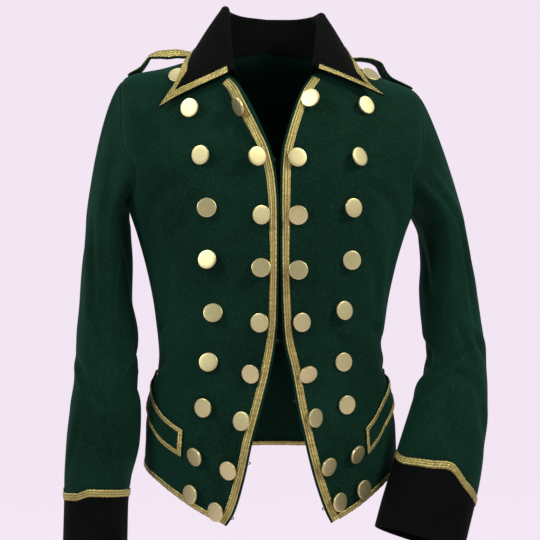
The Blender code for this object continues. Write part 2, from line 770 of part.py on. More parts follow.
def make_sleeve(side, faces):
    line, seam_normals, away = armhole_loop(side, faces)
    columns = len(line)
    seam = line + away * SEAM_GAP / 2
    start = line + away * CAP_RISE
    lowness = (1 + np.cos(np.radians(sleeve_angles()))) / 2
    spring = CAP_SPRING_LOW + (CAP_SPRING_HIGH - CAP_SPRING_LOW) * (1 - lowness) ** 2
    first_pull = away * spring[:, None] + seam_normals * (CAP_SWING * lowness ** 2)[:, None]
    bicep, axis = sleeve_surface(side, np.full(columns, SLEEVE_HEIGHTS[0]))
    last_pull = -axis * (CAP_PULL * np.linalg.norm(bicep - start, axis=1))[:, None]
    cap = [seam] + [hermite(start, first_pull, bicep, last_pull, t) for t in (0.0, *CAP_STEPS)]
    tube_heights = np.repeat(np.array(SLEEVE_HEIGHTS)[:, None], columns, axis=1)
    seam_heights = cuff_seam_heights(side)
    tube_heights = np.vstack((tube_heights, seam_heights + SEAM_GAP / 2))
    tube, _ = sleeve_surface(side, tube_heights)
    outer = np.concatenate((cap, tube))
    normals = grid_normals(outer, ring=True) * side
    normals[0] = seam_normals
    inner = outer - normals * CLOTH
    cells = all_cells(len(outer) - 1, columns)
    layered(f"sleeve_{side_name(side)}", outer, inner, cells, "wool", ring=True)


def cuff_seam_heights(side):
    column = 0 if side == RIGHT else 1
    return CUFF_SEAM[side] + read_table(CUFF_WAVE)(sleeve_angles())[:, column]


def make_cuff(side):
    top = cuff_seam_heights(side) - SEAM_GAP / 2
    under_lace = top - LACE_WIDTH
    foot = np.full_like(top, CUFF_FOOT[side])
    shares = even(0, 1, CUFF_ROWS)[:, None]
    heights = np.vstack((top, under_lace * (1 - shares) + foot * shares))
    outer, _ = sleeve_surface(side, heights)
    normals = grid_normals(outer, ring=True) * side
    inner = outer - normals * VELVET
    rows, columns = len(outer) - 1, outer.shape[1]
    layered(f"cuff_{side_name(side)}", outer, inner, all_cells(rows, columns), "velvet", ring=True)
    low = outer + normals * LAID_GAP
    high = low + normals * LACE
    layered(f"cuff_lace_{side_name(side)}", high, low, all_cells(1, columns), "lace", ring=True)


def neck_line(faces):
    # The neck edge from the right front corner round the back to the left front corner.
    parts = []
    for side in (RIGHT, LEFT):
        front_points, front_normals = faces["front", side]
        back_points, back_normals = faces["back", side]
        line = np.concatenate((front_points[EDGE_ROWS:, 0], back_points[-2:EDGE_ROWS - 1:-1, 0]))
        normals = np.concatenate((front_normals[EDGE_ROWS:, 0], back_normals[-2:EDGE_ROWS - 1:-1, 0]))
        inside = np.concatenate((front_points[EDGE_ROWS:, 1], back_points[-2:EDGE_ROWS - 1:-1, 1]))
        parts.append((line, normals, inside))
    line, normals, inside = [np.concatenate((right, left[-2::-1])) for right, left in zip(*parts)]
    return line, normals, seam_direction(line, normals, inside)


def collar_line(shares, first):
    # Points read from three columns of the collar's tables, from the right front to the left front.
    halves = []
    for side in (RIGHT, LEFT):
        half = read_table(COLLARS[side])(np.array(shares))[:, first:first + 3]
        halves.append(half * np.array((side, 1, 1)))
    return np.concatenate((halves[0], halves[1][-2::-1]))


def clear_of_cloth(points, clearance):
    # Pushes points out until they stand clear of the worn fronts and backs.
    base = settle(points)
    normal = unit(body_slope(base))
    distance = ((points - worn_points(base)) * normal).sum(axis=-1)
    short = np.clip(clearance - distance, 0, None)
    return points + normal * short[..., None]


def make_collar(faces):
    line, seam_normals, away = neck_line(faces)
    start = line + away * SEAM_GAP / 2
    roll = collar_line(ROLL_SHARES, 0)
    edge = collar_line(EDGE_SHARES, 3)
    falling = unit(edge - roll)
    rising = unit(roll - start)
    outward = unit(falling - rising * (falling * rising).sum(axis=-1, keepdims=True))
    stand_top = roll - outward * COLLAR_FOLD
    rows = [hermite(start, away * STAND_SPRING, stand_top, rising * STAND_SPRING, t) for t in (0, 0.5)]
    rows.append(stand_top)
    for turn in FOLD_TURNS:
        swing = math.radians(turn)
        rows.append(roll + COLLAR_FOLD * (math.sin(swing) * rising - math.cos(swing) * outward))
    fall_top = roll + outward * COLLAR_FOLD
    length = np.linalg.norm(edge - fall_top, axis=1, keepdims=True)
    along_edge = unit(np.gradient(edge, axis=0))
    slant = np.linalg.norm(np.cross(along_edge, unit(edge - fall_top)), axis=1, keepdims=True)
    strip = 1 - LACE_WIDTH / (slant * length)
    fall = [fall_top + (edge - fall_top) * strip * share / FALL_SHARES[-1] for share in FALL_SHARES]
    fall.append(edge)
    creased = [clear_of_cloth(row, CREASE_CLEARANCE) for row in (*rows[3:], fall[0])]
    cleared = [clear_of_cloth(row, FALL_CLEARANCE) for row in fall[1:]]
    under = np.array(rows[:3] + creased + cleared)
    normals = grid_normals(under)
    normals *= np.sign((normals[-1] * seam_normals).sum())
    normals[0] = -seam_normals
    velvet_side = under + normals * VELVET
    row_cells, column_cells = len(under) - 1, under.shape[1] - 1
    layered("collar", velvet_side, under, all_cells(row_cells, column_cells), "velvet")
    fall_row = len(rows)
    cells = {(row_cells - 1, column) for column in range(column_cells)}
    cells |= {(row, column) for row in range(fall_row, row_cells) for column in (0, column_cells - 1)}
    low = velvet_side + normals * LAID_GAP
    high = low + normals * LACE
    layered("collar_lace", high, low, cells, "lace")


def shoulder_height(side, out):
    # The height of the worn shoulder seam over a distance from the centre plane.
    ridge = np.zeros((SHOULDER_STEPS, 3))
    ridge[:, 2] = np.linspace(0, SHOULDER_HEIGHT, SHOULDER_STEPS)
    ridge[:, 0] = side * body_section(ridge[:, 2])[:, 0]
    shaped = worn_points(ridge)
    return np.interp(out, side * shaped[:, 0], shaped[:, 2])


def make_strap(side):
    shares = even(0, 1, STRAP_ROWS)
    out, rise, roll, droop = np.moveaxis(read_table(STRAPS[side])(shares), -1, 0)
    height = shoulder_height(side, out) + rise
    centre = np.stack((side * out, 0 * out + STRAP_Y, height), axis=-1)

    def tilted(degrees):
        angle = np.radians(degrees)
        return np.stack((0 * angle, np.cos(angle), np.sin(angle)), axis=-1)

    half = STRAP_WIDTH / 2
    bend = centre + tilted(roll) * (STRAP_EDGE + LACE_WIDTH - half)
    columns = [bend - tilted(droop) * reach for reach in (STRAP_EDGE + LACE_WIDTH, LACE_WIDTH, 0.0)]
    columns += [centre + tilted(roll) * station for station in (half - FLAP_LACE, half)]
    under = np.stack(columns, axis=1)
    normals = grid_normals(under)
    normals *= np.sign(normals[0, 0, 2])
    over = under + normals * STRAP_CLOTH
    name = side_name(side)
    layered(f"strap_{name}", over, under, all_cells(STRAP_ROWS, len(columns) - 1), "wool")
    low = over + normals * LAID_GAP
    high = low + normals * LACE
    cells = {(row, column) for row in range(1, STRAP_ROWS) for column in (1, 3)} | {(1, 2)}
    layered(f"strap_lace_{name}", high, low, cells, "lace")


def make_pocket_flap(side):
    shares = np.concatenate(((0.0,), even(FLAP_FIRST, 1.0, FLAP_COLUMNS - 1)))
    upper, lower, right_angle, left_angle = np.moveaxis(read_table(POCKET_FLAPS)(shares), -1, 0)
    angle = right_angle if side == RIGHT else left_angle
    border = FLAP_LACE / (upper - lower)
    rows = []
    for share in (0 * border, border, 1 - border, 0 * border + 1):
        rows.append(on_body(side * angle, upper * (1 - share) + lower * share))
    points, normals = worn(settle(np.array(rows)))
    under = points + normals * FLAP_GAP
    over = under + normals * FLAP_CLOTH
    name = side_name(side)
    layered(f"pocket_flap_{name}", over, under, all_cells(3, FLAP_COLUMNS), "wool")
    low = over + normals * LAID_GAP
    high = low + normals * LACE
    cells = {(row, column) for row in (0, 2) for column in range(FLAP_COLUMNS)} | {(1, 0)}
    layered(f"pocket_lace_{name}", high, low, cells, "lace")


def button_mesh():
    # A flat disc with a bevelled rim on a low domed back.
    shape = bmesh.new()
    rings = []
    for radius, height in BUTTON_PROFILE:
        ring = []
        for step in range(BUTTON_SIDES):
            turn = 2 * math.pi * step / BUTTON_SIDES
            ring.append(shape.verts.new((radius * math.cos(turn), radius * math.sin(turn), height)))
        rings.append(ring)
    for low, high in zip(rings, rings[1:]):
        for step in range(BUTTON_SIDES):
            beyond = (step + 1) % BUTTON_SIDES
            shape.faces.new((low[step], low[beyond], high[beyond], high[step]))
    shape.faces.new(rings[0][::-1])
    shape.faces.new(rings[-1])
    mesh = bpy.data.meshes.new("button")
    shape.to_mesh(mesh)
    shape.free()
    mesh.shade_smooth()
    mesh.set_sharp_from_angle(angle=BUTTON_SHARP)
    return mesh


def sewn_cloth(side):
    # The front as built, with its edge lace, for what is sewn on top of them.
    vertices, faces = [], []
    for part in ("front", "edge_lace"):
        mesh = bpy.data.objects[f"{part}_{side_name(side)}"].data
        first = len(vertices)
        vertices += [vertex.co.copy() for vertex in mesh.vertices]
        faces += [[first + corner for corner in face.vertices] for face in mesh.polygons]
    return BVHTree.FromPolygons(vertices, faces)


def button_seat(cloth, side, out, height):
    # The place and normal of a button that lies on the cloth and touches it nowhere.
    base = on_front(np.array(side * out), np.array(height))
    points, normals = worn(base[None, :])
    aside = unit(np.cross((0.0, 0.0, 1.0), normals[0]))
    upward = np.cross(normals[0], aside)
    rim = [points[0] + BUTTON_RADIUS * step for step in (aside, upward, -aside, -upward)]
    right, top, left, bottom = [np.array(cloth.find_nearest(Vector(place))[0]) for place in rim]
    facing = unit(np.cross(right - left, top - bottom))
    middle = np.array(cloth.find_nearest(Vector(points[0]))[0])
    lift = 0.0
    for radius in BUTTON_SEATS:
        room = np.interp(radius, *zip(*BUTTON_PROFILE[:2])) - LAID_GAP
        for turn in np.arange(BUTTON_SAMPLES) * 2 * math.pi / BUTTON_SAMPLES:
            place = middle + radius * (math.cos(turn) * aside + math.sin(turn) * upward)
            above = Vector(place + facing * BUTTON_REACH)
            found = cloth.ray_cast(above, Vector(-facing), 2 * BUTTON_REACH)[0]
            if found:
                lift = max(lift, (np.array(found) - middle) @ facing - room)
    return middle + facing * lift, facing


def make_buttons():
    mesh = button_mesh()
    cloths = {side: sewn_cloth(side) for side in (RIGHT, LEFT)}
    for row_name, rows in (("outer", OUTER_BUTTONS), ("inner", INNER_BUTTONS)):
        for number, (right_out, right_height, left_out, left_height) in enumerate(rows, start=1):
            for side, out, height in ((RIGHT, right_out, right_height), (LEFT, left_out, left_height)):
                name = f"button_{side_name(side)}_{row_name}_{number:02d}"
                button = bpy.data.objects.new(name, mesh)
                bpy.context.scene.collection.objects.link(button)
                point, normal = button_seat(cloths[side], side, out, height)
                turn = Vector(normal).to_track_quat("Z", "Y")
                button.matrix_world = Matrix.Translation(Vector(point)) @ turn.to_matrix().to_4x4()
    add_material(button, "brass")


def build():
    for piece in list(bpy.data.objects):
        bpy.data.objects.remove(piece, do_unlink=True)
    faces = {}
    for side in (RIGHT, LEFT):
        faces["front", side] = panel(side, True)
        faces["back", side] = panel(side, False)
    for side in (RIGHT, LEFT):
        make_panels(side, faces)
        make_edge_lace(side, faces)
        make_sleeve(side, faces)
        make_cuff(side)
        make_strap(side)
        make_pocket_flap(side)
    make_collar(faces)
    make_buttons()


build()
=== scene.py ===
# Military jacket: the fine cloth, lace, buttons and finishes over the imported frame.
import math

import bmesh
import bpy
import numpy as np
from mathutils import Matrix, Vector
from mathutils.bvhtree import BVHTree


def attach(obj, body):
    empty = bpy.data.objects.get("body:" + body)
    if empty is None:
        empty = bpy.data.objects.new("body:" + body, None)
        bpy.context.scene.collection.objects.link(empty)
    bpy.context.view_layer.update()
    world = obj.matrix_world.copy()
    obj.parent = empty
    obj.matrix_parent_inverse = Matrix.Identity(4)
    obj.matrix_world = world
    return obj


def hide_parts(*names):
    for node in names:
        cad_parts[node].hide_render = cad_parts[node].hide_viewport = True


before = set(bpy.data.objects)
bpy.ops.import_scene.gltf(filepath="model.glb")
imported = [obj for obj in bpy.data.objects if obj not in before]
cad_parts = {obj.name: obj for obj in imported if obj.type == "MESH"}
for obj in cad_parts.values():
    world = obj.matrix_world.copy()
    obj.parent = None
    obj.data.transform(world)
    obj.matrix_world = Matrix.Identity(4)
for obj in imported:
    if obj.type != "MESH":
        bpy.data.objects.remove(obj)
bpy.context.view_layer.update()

right, left = -1, 1  # the wearer's own sides
sideNames = {right: "right", left: "left"}
sideColumn = {right: 0, left: 1}  # tables give the right side first
fineness = 6  # rows of a shell for each row of its solid
print("frame loaded")


# tables and vectors

def readTable(rows):  # smooth between rows, never past them
    table = np.array(rows, dtype=float)
    place, values = table[:, 0], table[:, 1:]
    widths = np.diff(place)[:, None]
    rates = np.diff(values, axis=0) / widths
    product = rates[:-1] * rates[1:]
    total = np.where(product > 0, rates[:-1] + rates[1:], 1.0)
    slopes = np.vstack((rates[:1], np.where(product > 0, 2 * product / total, 0.0), rates[-1:]))

    def read(position):
        position = np.clip(np.asarray(position, dtype=float), place[0], place[-1])
        cell = np.clip(np.searchsorted(place, position) - 1, 0, len(place) - 2)
        width = widths[cell]
        t = (position - place[cell])[..., None] / width
        start = values[cell] * (1 + 2 * t) * (1 - t) ** 2 + slopes[cell] * width * t * (1 - t) ** 2
        end = values[cell + 1] * t * t * (3 - 2 * t) + slopes[cell + 1] * width * t * t * (t - 1)
        return start + end

    return read


def unit(vectors):
    return vectors / np.linalg.norm(vectors, axis=-1, keepdims=True)


def smoothStep(low, high, value):
    t = np.clip((value - low) / (high - low), 0, 1)
    return t * t * (3 - 2 * t)


def hermite(start, startPull, end, endPull, t):
    return (start * (1 + 2 * t) * (1 - t) ** 2 + startPull * t * (1 - t) ** 2
            + end * t * t * (3 - 2 * t) + endPull * t * t * (t - 1))


def bendCurve(start, bend, end, shares):
    t = np.asarray(shares)[:, None]
    return (1 - t) ** 2 * start + 2 * t * (1 - t) * np.array(bend) + t * t * end


def even(start, end, cells):
    return np.linspace(start, end, cells + 1)


def refine(values, times):  # more rows between the solid's own rows
    index = even(0, len(values) - 1, (len(values) - 1) * times)
    return np.interp(index, np.arange(len(values)), values)


def arcLength(points, axis):  # metres along a grid's rows or columns
    steps = np.linalg.norm(np.diff(points, axis=axis), axis=-1)
    pad = [(0, 0)] * steps.ndim
    pad[axis] = (1, 0)
    return np.pad(np.cumsum(steps, axis=axis), pad)


def gridNormals(points, ring=False):
    down = np.gradient(points, axis=0)
    around = np.roll(points, -1, 1) - np.roll(points, 1, 1) if ring else np.gradient(points, axis=1)
    return unit(np.cross(down, around))


# the worn form that every piece of cloth lies on

bodyForm = {
    "sections": (  # height, half width, front depth, back depth, squareness
        (-0.660, 0.180, 0.117, 0.122, 2.20), (-0.580, 0.176, 0.115, 0.120, 2.20),
        (-0.518, 0.1745, 0.111, 0.112, 2.20), (-0.470, 0.166, 0.107, 0.102, 2.20),
        (-0.420, 0.156, 0.104, 0.094, 2.20), (-0.357, 0.162, 0.108, 0.096, 2.25),
        (-0.300, 0.173, 0.116, 0.104, 2.35), (-0.253, 0.186, 0.121, 0.110, 2.45),
        (-0.214, 0.199, 0.123, 0.113, 2.60), (-0.160, 0.210, 0.120, 0.115, 2.80),
        (-0.100, 0.214, 0.106, 0.111, 2.80), (-0.060, 0.2125, 0.088, 0.100, 2.60),
        (-0.045, 0.203, 0.080, 0.094, 2.40), (-0.030, 0.157, 0.072, 0.084, 2.25),
        (-0.015, 0.119, 0.062, 0.072, 2.10), (0.000, 0.078, 0.052, 0.062, 2.00),
        (0.012, 0.060, 0.045, 0.058, 2.00)),
    "shoulderDrop": 0.007,  # the left shoulder hangs lower
    "dropFrom": (0.080, 0.210), "dropHeights": (-0.300, -0.080),
}
cut = {
    "frontEdges": (  # height, right, left: from the centre plane
        (-0.640, 0.0740, 0.0750), (-0.615, 0.0580, 0.0620), (-0.570, 0.0445, 0.0465),
        (-0.525, 0.0345, 0.0355), (-0.480, 0.0222, 0.0256), (-0.435, 0.0106, 0.0178),
        (-0.391, 0.0032, 0.0080), (-0.360, 0.0012, 0.0056), (-0.300, 0.0010, 0.0030),
        (-0.220, 0.0015, 0.0016), (-0.184, 0.0040, 0.0020), (-0.148, 0.0105, 0.0045),
        (-0.120, 0.0212, 0.0115), (-0.093, 0.0326, 0.0205), (-0.065, 0.0460, 0.0320),
        (-0.036, 0.0650, 0.0520)),
    "rightRoll": (  # height, crest, lace inset: the right front rolls open at the top
        (-0.180, 0.000, 0.0025), (-0.150, 0.003, 0.0035), (-0.105, 0.014, 0.0075),
        (-0.075, 0.016, 0.0095), (-0.052, 0.0065, 0.0080), (-0.030, 0.000, 0.0060)),
    "rollSpread": (0.009, 0.012), "crestShift": 0.0035,
    "hem": (  # angle, height
        (25, -0.643), (33, -0.630), (48, -0.611), (61, -0.592), (72, -0.578), (85, -0.569),
        (100, -0.565), (180, -0.563)),
    "frontArmhole": (  # share, angle, height
        (0.00, 97, -0.216), (0.20, 80, -0.2105), (0.36, 70, -0.194), (0.46, 68, -0.172),
        (0.60, 75, -0.138), (0.78, 78, -0.090), (0.91, 84, -0.054), (1.00, 90, -0.044)),
    "backArmhole": (
        (0.00, 97, -0.216), (0.20, 106, -0.203), (0.40, 110, -0.172), (0.60, 109, -0.130),
        (0.80, 104, -0.083), (0.91, 97, -0.054), (1.00, 90, -0.044)),
    "neckCorner": {right: -0.050, left: -0.042}, "neckBend": (0.080, -0.055, -0.012),
    "neckPoint": (0.078, 0.0, 0.0), "neckFirst": 0.10,
    "napeHeight": 0.012, "napeBend": (0.072, 0.056, 0.009),
    "sideSeam": 100, "armpit": (97, -0.216), "chest": -0.285, "chestCrowding": 1.25,
    "edgeRows": 19, "neckRows": 5, "sideRows": 13, "armRows": 11, "columns": 66, "hemSearch": 400,
    "seamColumns": (0.0011, 0.0024, 0.0041), "width": 0.21,  # metres from a seam, on a panel of usual width
}
cloth = {"wool": 0.0020, "velvet": 0.0020, "strap": 0.0025, "flap": 0.0015, "seamGap": -0.0001,
         "seamDip": 0.0011, "seamSpread": 0.0030, "edgeRound": 0.0009}
lace = {"width": 0.0095, "inset": 0.0025, "hem": 0.0047, "cuff": 0.0080, "thick": 0.0007, "least": 0.0004,
        "gap": 0.0003, "step": 0.0009, "edge": 0.10, "edgeDrop": 0.25, "loops": (0.2, 1.6), "strips": 12,
        "rounded": (0.3, 0.3, 0.3, 0.3), "rowTimes": 30}
bodyFolds = (  # angle, height, lean, half length, half width, depth, bow
    (-68, -0.255, 12, 0.060, 0.014, 0.0045, 0), (68, -0.260, -12, 0.070, 0.014, 0.0045, 0),
    (-62, -0.436, 62, 0.040, 0.012, 0.0030, 0), (50, -0.415, -55, 0.055, 0.012, 0.0035, 0),
    (80, -0.398, -75, 0.040, 0.010, 0.0030, 0), (-112, -0.270, -10, 0.060, 0.015, 0.0040, 0),
    (114, -0.265, 10, 0.055, 0.015, 0.0040, 0), (-135, -0.420, -65, 0.050, 0.013, 0.0035, 0),
    (140, -0.425, 60, 0.050, 0.013, 0.0035, 0),
)
bodyCreases = (  # the finer ones, each with a soft ridge beside it
    (-58, -0.205, 48, 0.034, 0.0085, 0.0022, 3), (-49, -0.238, 38, 0.026, 0.0065, 0.0013, -4),
    (-64, -0.315, 20, 0.045, 0.0080, 0.0016, 2), (-74, -0.372, 58, 0.030, 0.0070, 0.0018, 5),
    (-44, -0.452, 70, 0.026, 0.0060, 0.0011, -4), (-80, -0.430, 66, 0.034, 0.0075, 0.0019, 3),
    (-38, -0.330, 24, 0.040, 0.0100, 0.0010, 0), (-86, -0.520, 20, 0.030, 0.0085, 0.0014, 0),
    (-33, -0.515, -30, 0.035, 0.0090, 0.0010, 3), (-52, -0.120, -35, 0.034, 0.0100, 0.0012, 0),
    (57, -0.208, -46, 0.032, 0.0080, 0.0021, -4), (47, -0.246, -36, 0.028, 0.0060, 0.0012, 3),
    (62, -0.328, -18, 0.046, 0.0085, 0.0017, -2), (70, -0.385, -60, 0.032, 0.0065, 0.0020, -4),
    (44, -0.395, -66, 0.030, 0.0065, 0.0013, 3), (84, -0.440, -64, 0.030, 0.0080, 0.0018, -2),
    (36, -0.350, -22, 0.042, 0.0100, 0.0011, 0), (88, -0.525, -16, 0.032, 0.0085, 0.0013, 0),
    (31, -0.500, 28, 0.038, 0.0090, 0.0011, -3), (50, -0.125, 34, 0.036, 0.0100, 0.0011, 0),
    (-118, -0.215, -40, 0.036, 0.0080, 0.0020, 3), (-104, -0.340, -20, 0.045, 0.0080, 0.0016, 0),
    (-128, -0.385, -58, 0.036, 0.0070, 0.0020, 4), (-150, -0.405, -72, 0.032, 0.0065, 0.0016, -3),
    (-120, -0.455, -50, 0.038, 0.0085, 0.0017, 3), (-160, -0.500, -12, 0.048, 0.0110, 0.0012, 0),
    (-138, -0.160, -28, 0.042, 0.0110, 0.0012, 0), (120, -0.212, 42, 0.034, 0.0080, 0.0020, -3),
    (106, -0.350, 18, 0.042, 0.0085, 0.0015, 0), (130, -0.380, 60, 0.038, 0.0070, 0.0020, -4),
    (153, -0.412, 70, 0.034, 0.0065, 0.0015, 3), (122, -0.462, 48, 0.034, 0.0080, 0.0018, -3),
    (163, -0.505, 14, 0.044, 0.0110, 0.0012, 0), (140, -0.155, 26, 0.044, 0.0110, 0.0012, 0),
    (176, -0.395, 84, 0.040, 0.0075, 0.0014, 2), (-172, -0.200, 10, 0.050, 0.0130, 0.0010, 0),
)
creaseForms = {  # radius of the turn, how strong, share of the ridge beside each trough
    "fold": {"radius": 0.150, "gain": 1.0, "ridge": 0.0},
    "body": {"radius": 0.150, "gain": 2.1, "ridge": 0.45},
    "sleeve": {"radius": 0.055, "gain": 1.6, "ridge": 0.5},
    "cuff": {"radius": 0.045, "gain": 1.0, "ridge": 0.4},
}
ridgeAway = 1.7  # half widths from the trough to its ridge
probe = 0.0005

bodySection = readTable(bodyForm["sections"])
frontEdges = readTable(cut["frontEdges"])
rightRoll = readTable(cut["rightRoll"])
hemHeight = readTable(cut["hem"])


def bodyLevel(points):  # zero on the body, positive outside
    half, front, back, power = np.moveaxis(bodySection(points[..., 2]), -1, 0)
    depth = np.where(points[..., 1] < 0, front, back)
    across = np.abs(points[..., 0] / half) ** power
    ahead = np.abs(points[..., 1] / depth) ** power
    return (across + ahead) ** (1 / power) - 1


def bodySlope(points):
    steps = probe * np.eye(3)
    return np.stack([bodyLevel(points + s) - bodyLevel(points - s) for s in steps], axis=-1) / (2 * probe)


def settle(points, steps=14):  # brings points near the body onto it
    points = np.array(points, dtype=float)
    for _ in range(steps):
        slope = bodySlope(points)
        points -= slope * (bodyLevel(points) / (slope ** 2).sum(axis=-1))[..., None]
    return points


def onBody(angle, height):
    angle = np.radians(angle)
    height = height + 0.0 * angle
    half, front, back, power = np.moveaxis(bodySection(height), -1, 0)
    depth = np.where(np.cos(angle) > 0, front, back)
    reach = (np.abs(np.sin(angle) / half) ** power + np.abs(np.cos(angle) / depth) ** power) ** (-1 / power)
    return np.stack((reach * np.sin(angle), -reach * np.cos(angle), height), axis=-1)


def onFront(out, height):
    half, front, _, power = np.moveaxis(bodySection(height), -1, 0)
    ahead = front * (1 - np.abs(out / half) ** power) ** (1 / power)
    return np.stack((out, -ahead, height + 0 * out), axis=-1)


def rollLift(points):
    height = points[..., 2]
    crest, inset = np.moveaxis(rightRoll(height), -1, 0)
    fromCrest = -points[..., 0] - frontEdges(height)[..., 0] - inset - lace["width"] / 2 + cut["crestShift"]
    spread = np.where(fromCrest < 0, *cut["rollSpread"])
    onRightFront = (points[..., 0] < 0) & (points[..., 1] < 0)
    return np.where(onRightFront, crest * np.exp(-(fromCrest / spread) ** 2), 0)


def turnAway(angles, turn):  # the way round from a turn, in radians
    return np.radians((angles - turn + 180) % 360 - 180)


def creaseLift(angles, above, rows, form):  # long soft troughs, some with a ridge on one side
    lift = np.zeros_like(above)
    for turn, height, lean, halfLength, halfWidth, depth, bow in rows:
        offset, rise = turnAway(angles, turn) * form["radius"], above - height
        cosine, sine = math.cos(math.radians(lean)), math.sin(math.radians(lean))
        along = (rise * cosine + offset * sine) / halfLength
        across = (offset * cosine - rise * sine - bow * 0.001 * along ** 2) / halfWidth
        ridge = form["ridge"] * np.exp(-along ** 2 - (across - ridgeAway) ** 2)
        lift -= depth * (np.exp(-along ** 2 - across ** 2) - ridge)
    return form["gain"] * lift


def wornPoints(points):
    angle, height = np.degrees(np.arctan2(points[..., 0], -points[..., 1])), points[..., 2]
    lift = rollLift(points) + creaseLift(angle, height, bodyFolds, creaseForms["fold"])
    lift += creaseLift(angle, height, bodyCreases, creaseForms["body"])
    shaped = points + unit(bodySlope(points)) * lift[..., None]
    out = smoothStep(*bodyForm["dropFrom"], np.abs(points[..., 0]))
    up = smoothStep(*bodyForm["dropHeights"], points[..., 2])
    shaped[..., 2] -= bodyForm["shoulderDrop"] * np.sign(points[..., 0]) * out * up
    return shaped


def worn(points):  # the cloth's outer face over points of the body, and its normals
    normal = unit(bodySlope(points))
    aside = unit(np.cross((0.0, 0.0, 1.0), normal))
    upward = np.cross(normal, aside)
    step = 2 * probe
    sideways = wornPoints(settle(points + aside * step, 4)) - wornPoints(settle(points - aside * step, 4))
    upwards = wornPoints(settle(points + upward * step, 4)) - wornPoints(settle(points - upward * step, 4))
    return wornPoints(points), unit(np.cross(sideways, upwards))


# panels

def seamHeights(times):
    start = hemHeight(cut["sideSeam"])[0]
    rows = np.concatenate(((start,), even(start + lace["hem"], cut["armpit"][1], cut["sideRows"] - 1)))
    return refine(rows, times)


def edgeHeights(start, end, times):
    below = np.concatenate(((start,), even(start + lace["hem"], cut["chest"], cut["sideRows"] - 1)))
    share = even(0, 1, cut["edgeRows"] - cut["sideRows"])[1:]
    above = cut["chest"] + (end - cut["chest"]) * share ** cut["chestCrowding"]
    return refine(np.concatenate((below, above)), times)


def hemCorner(side):
    heights = np.linspace(cut["frontEdges"][0][0], cut["frontEdges"][3][0], cut["hemSearch"])
    points = onFront(frontEdges(heights)[:, sideColumn[side]], heights)
    angles = np.degrees(np.arctan2(points[:, 0], -points[:, 1]))
    return heights[np.argmin(np.abs(heights - hemHeight(angles)[:, 0]))]


def seamSide(armhole, times):  # up the side seam and round half the armhole
    share = even(0, 1, cut["sideRows"] * times)
    sideSeam, armpit = cut["sideSeam"], cut["armpit"][0]
    seam = onBody(sideSeam + (armpit - sideSeam) * share, seamHeights(times))
    arm = readTable(armhole)(even(0, 1, cut["armRows"] * times))
    return np.vstack((seam, onBody(arm[1:, 0], arm[1:, 1])))


def boundaries(side, isFront, times):
    if isFront:
        heights = edgeHeights(hemCorner(side), cut["neckCorner"][side], times)
        edge = onFront(frontEdges(heights)[:, sideColumn[side]], heights)
        shares = refine(np.concatenate(((0.0,), even(cut["neckFirst"], 1.0, cut["neckRows"] - 1))), times)
        neck = bendCurve(edge[-1], cut["neckBend"], np.array(cut["neckPoint"]), shares)
        startAngle = math.degrees(math.atan2(edge[0, 0], -edge[0, 1]))
        armhole = cut["frontArmhole"]
    else:
        heights = edgeHeights(hemHeight(180)[0], cut["napeHeight"], times)
        edge = onBody(np.full(len(heights), 180.0), heights)
        shares = even(0, 1, cut["neckRows"] * times)
        neck = bendCurve(edge[-1], cut["napeBend"], np.array(cut["neckPoint"]), shares)
        startAngle, armhole = 180, cut["backArmhole"]
    hemAngles = even(startAngle, cut["sideSeam"], cut["columns"])
    return np.vstack((edge, neck[1:])), seamSide(armhole, times), hemAngles


def panelPoints(side, isFront, times, shares, rows=np.s_[:]):
    # points and normals at shares of each row's width, from the free edge or the centre back
    inner, outer, hemAngles = boundaries(side, isFront, times)
    plain = even(0, 1, len(hemAngles) - 1)
    bottom = onBody(hemAngles, hemHeight(hemAngles)[:, 0])
    bottom[0], bottom[-1] = inner[0], outer[0]
    top = settle(inner[-1] * (1 - plain[:, None]) + outer[-1] * plain[:, None])
    up = np.linspace(0, 1, len(inner))[rows, None, None]
    shares = shares + np.zeros((len(up), 1))
    low = np.stack([np.interp(shares, plain, bottom[:, axis]) for axis in range(3)], axis=-1)
    high = np.stack([np.interp(shares, plain, top[:, axis]) for axis in range(3)], axis=-1)
    u = shares[..., None]
    footCorners = (1 - u) * inner[0] + u * outer[0]
    headCorners = (1 - u) * inner[-1] + u * outer[-1]
    ruled = inner[rows, None] * (1 - u) + outer[rows, None] * u
    grid = settle(ruled + (1 - up) * (low - footCorners) + up * (high - headCorners))
    grid[..., 0] *= side
    return worn(grid)


def seamDirection(line, normals, inside, closed=False):
    along = np.roll(line, -1, 0) - np.roll(line, 1, 0) if closed else np.gradient(line, axis=0)
    away = unit(np.cross(along, normals))
    return away * np.sign(((line - inside) * away).sum())


# meshes from grids

def addObject(name, data):
    made = bpy.data.objects.new(name, data)
    bpy.context.scene.collection.objects.link(made)
    return made


def standing(place, direction, axis="Z"):  # at a place, with one axis along a direction
    return Matrix.Translation(place) @ direction.to_track_quat(axis, "Y").to_matrix().to_4x4()


def addMesh(name, vertices, faces, uvs, material):
    mesh = bpy.data.meshes.new(name)
    mesh.from_pydata([tuple(v) for v in vertices], [], faces)
    layer = mesh.uv_layers.new(name="cloth")
    corners = np.zeros(len(mesh.loops), dtype=np.int32)
    mesh.loops.foreach_get("vertex_index", corners)
    layer.data.foreach_set("uv", np.asarray(uvs, dtype=np.float32)[corners].ravel())
    shape = bmesh.new()
    shape.from_mesh(mesh)
    bmesh.ops.recalc_face_normals(shape, faces=shape.faces)
    shape.to_mesh(mesh)
    shape.free()
    mesh.shade_smooth()
    mesh.materials.append(material)
    return addObject(name, mesh)


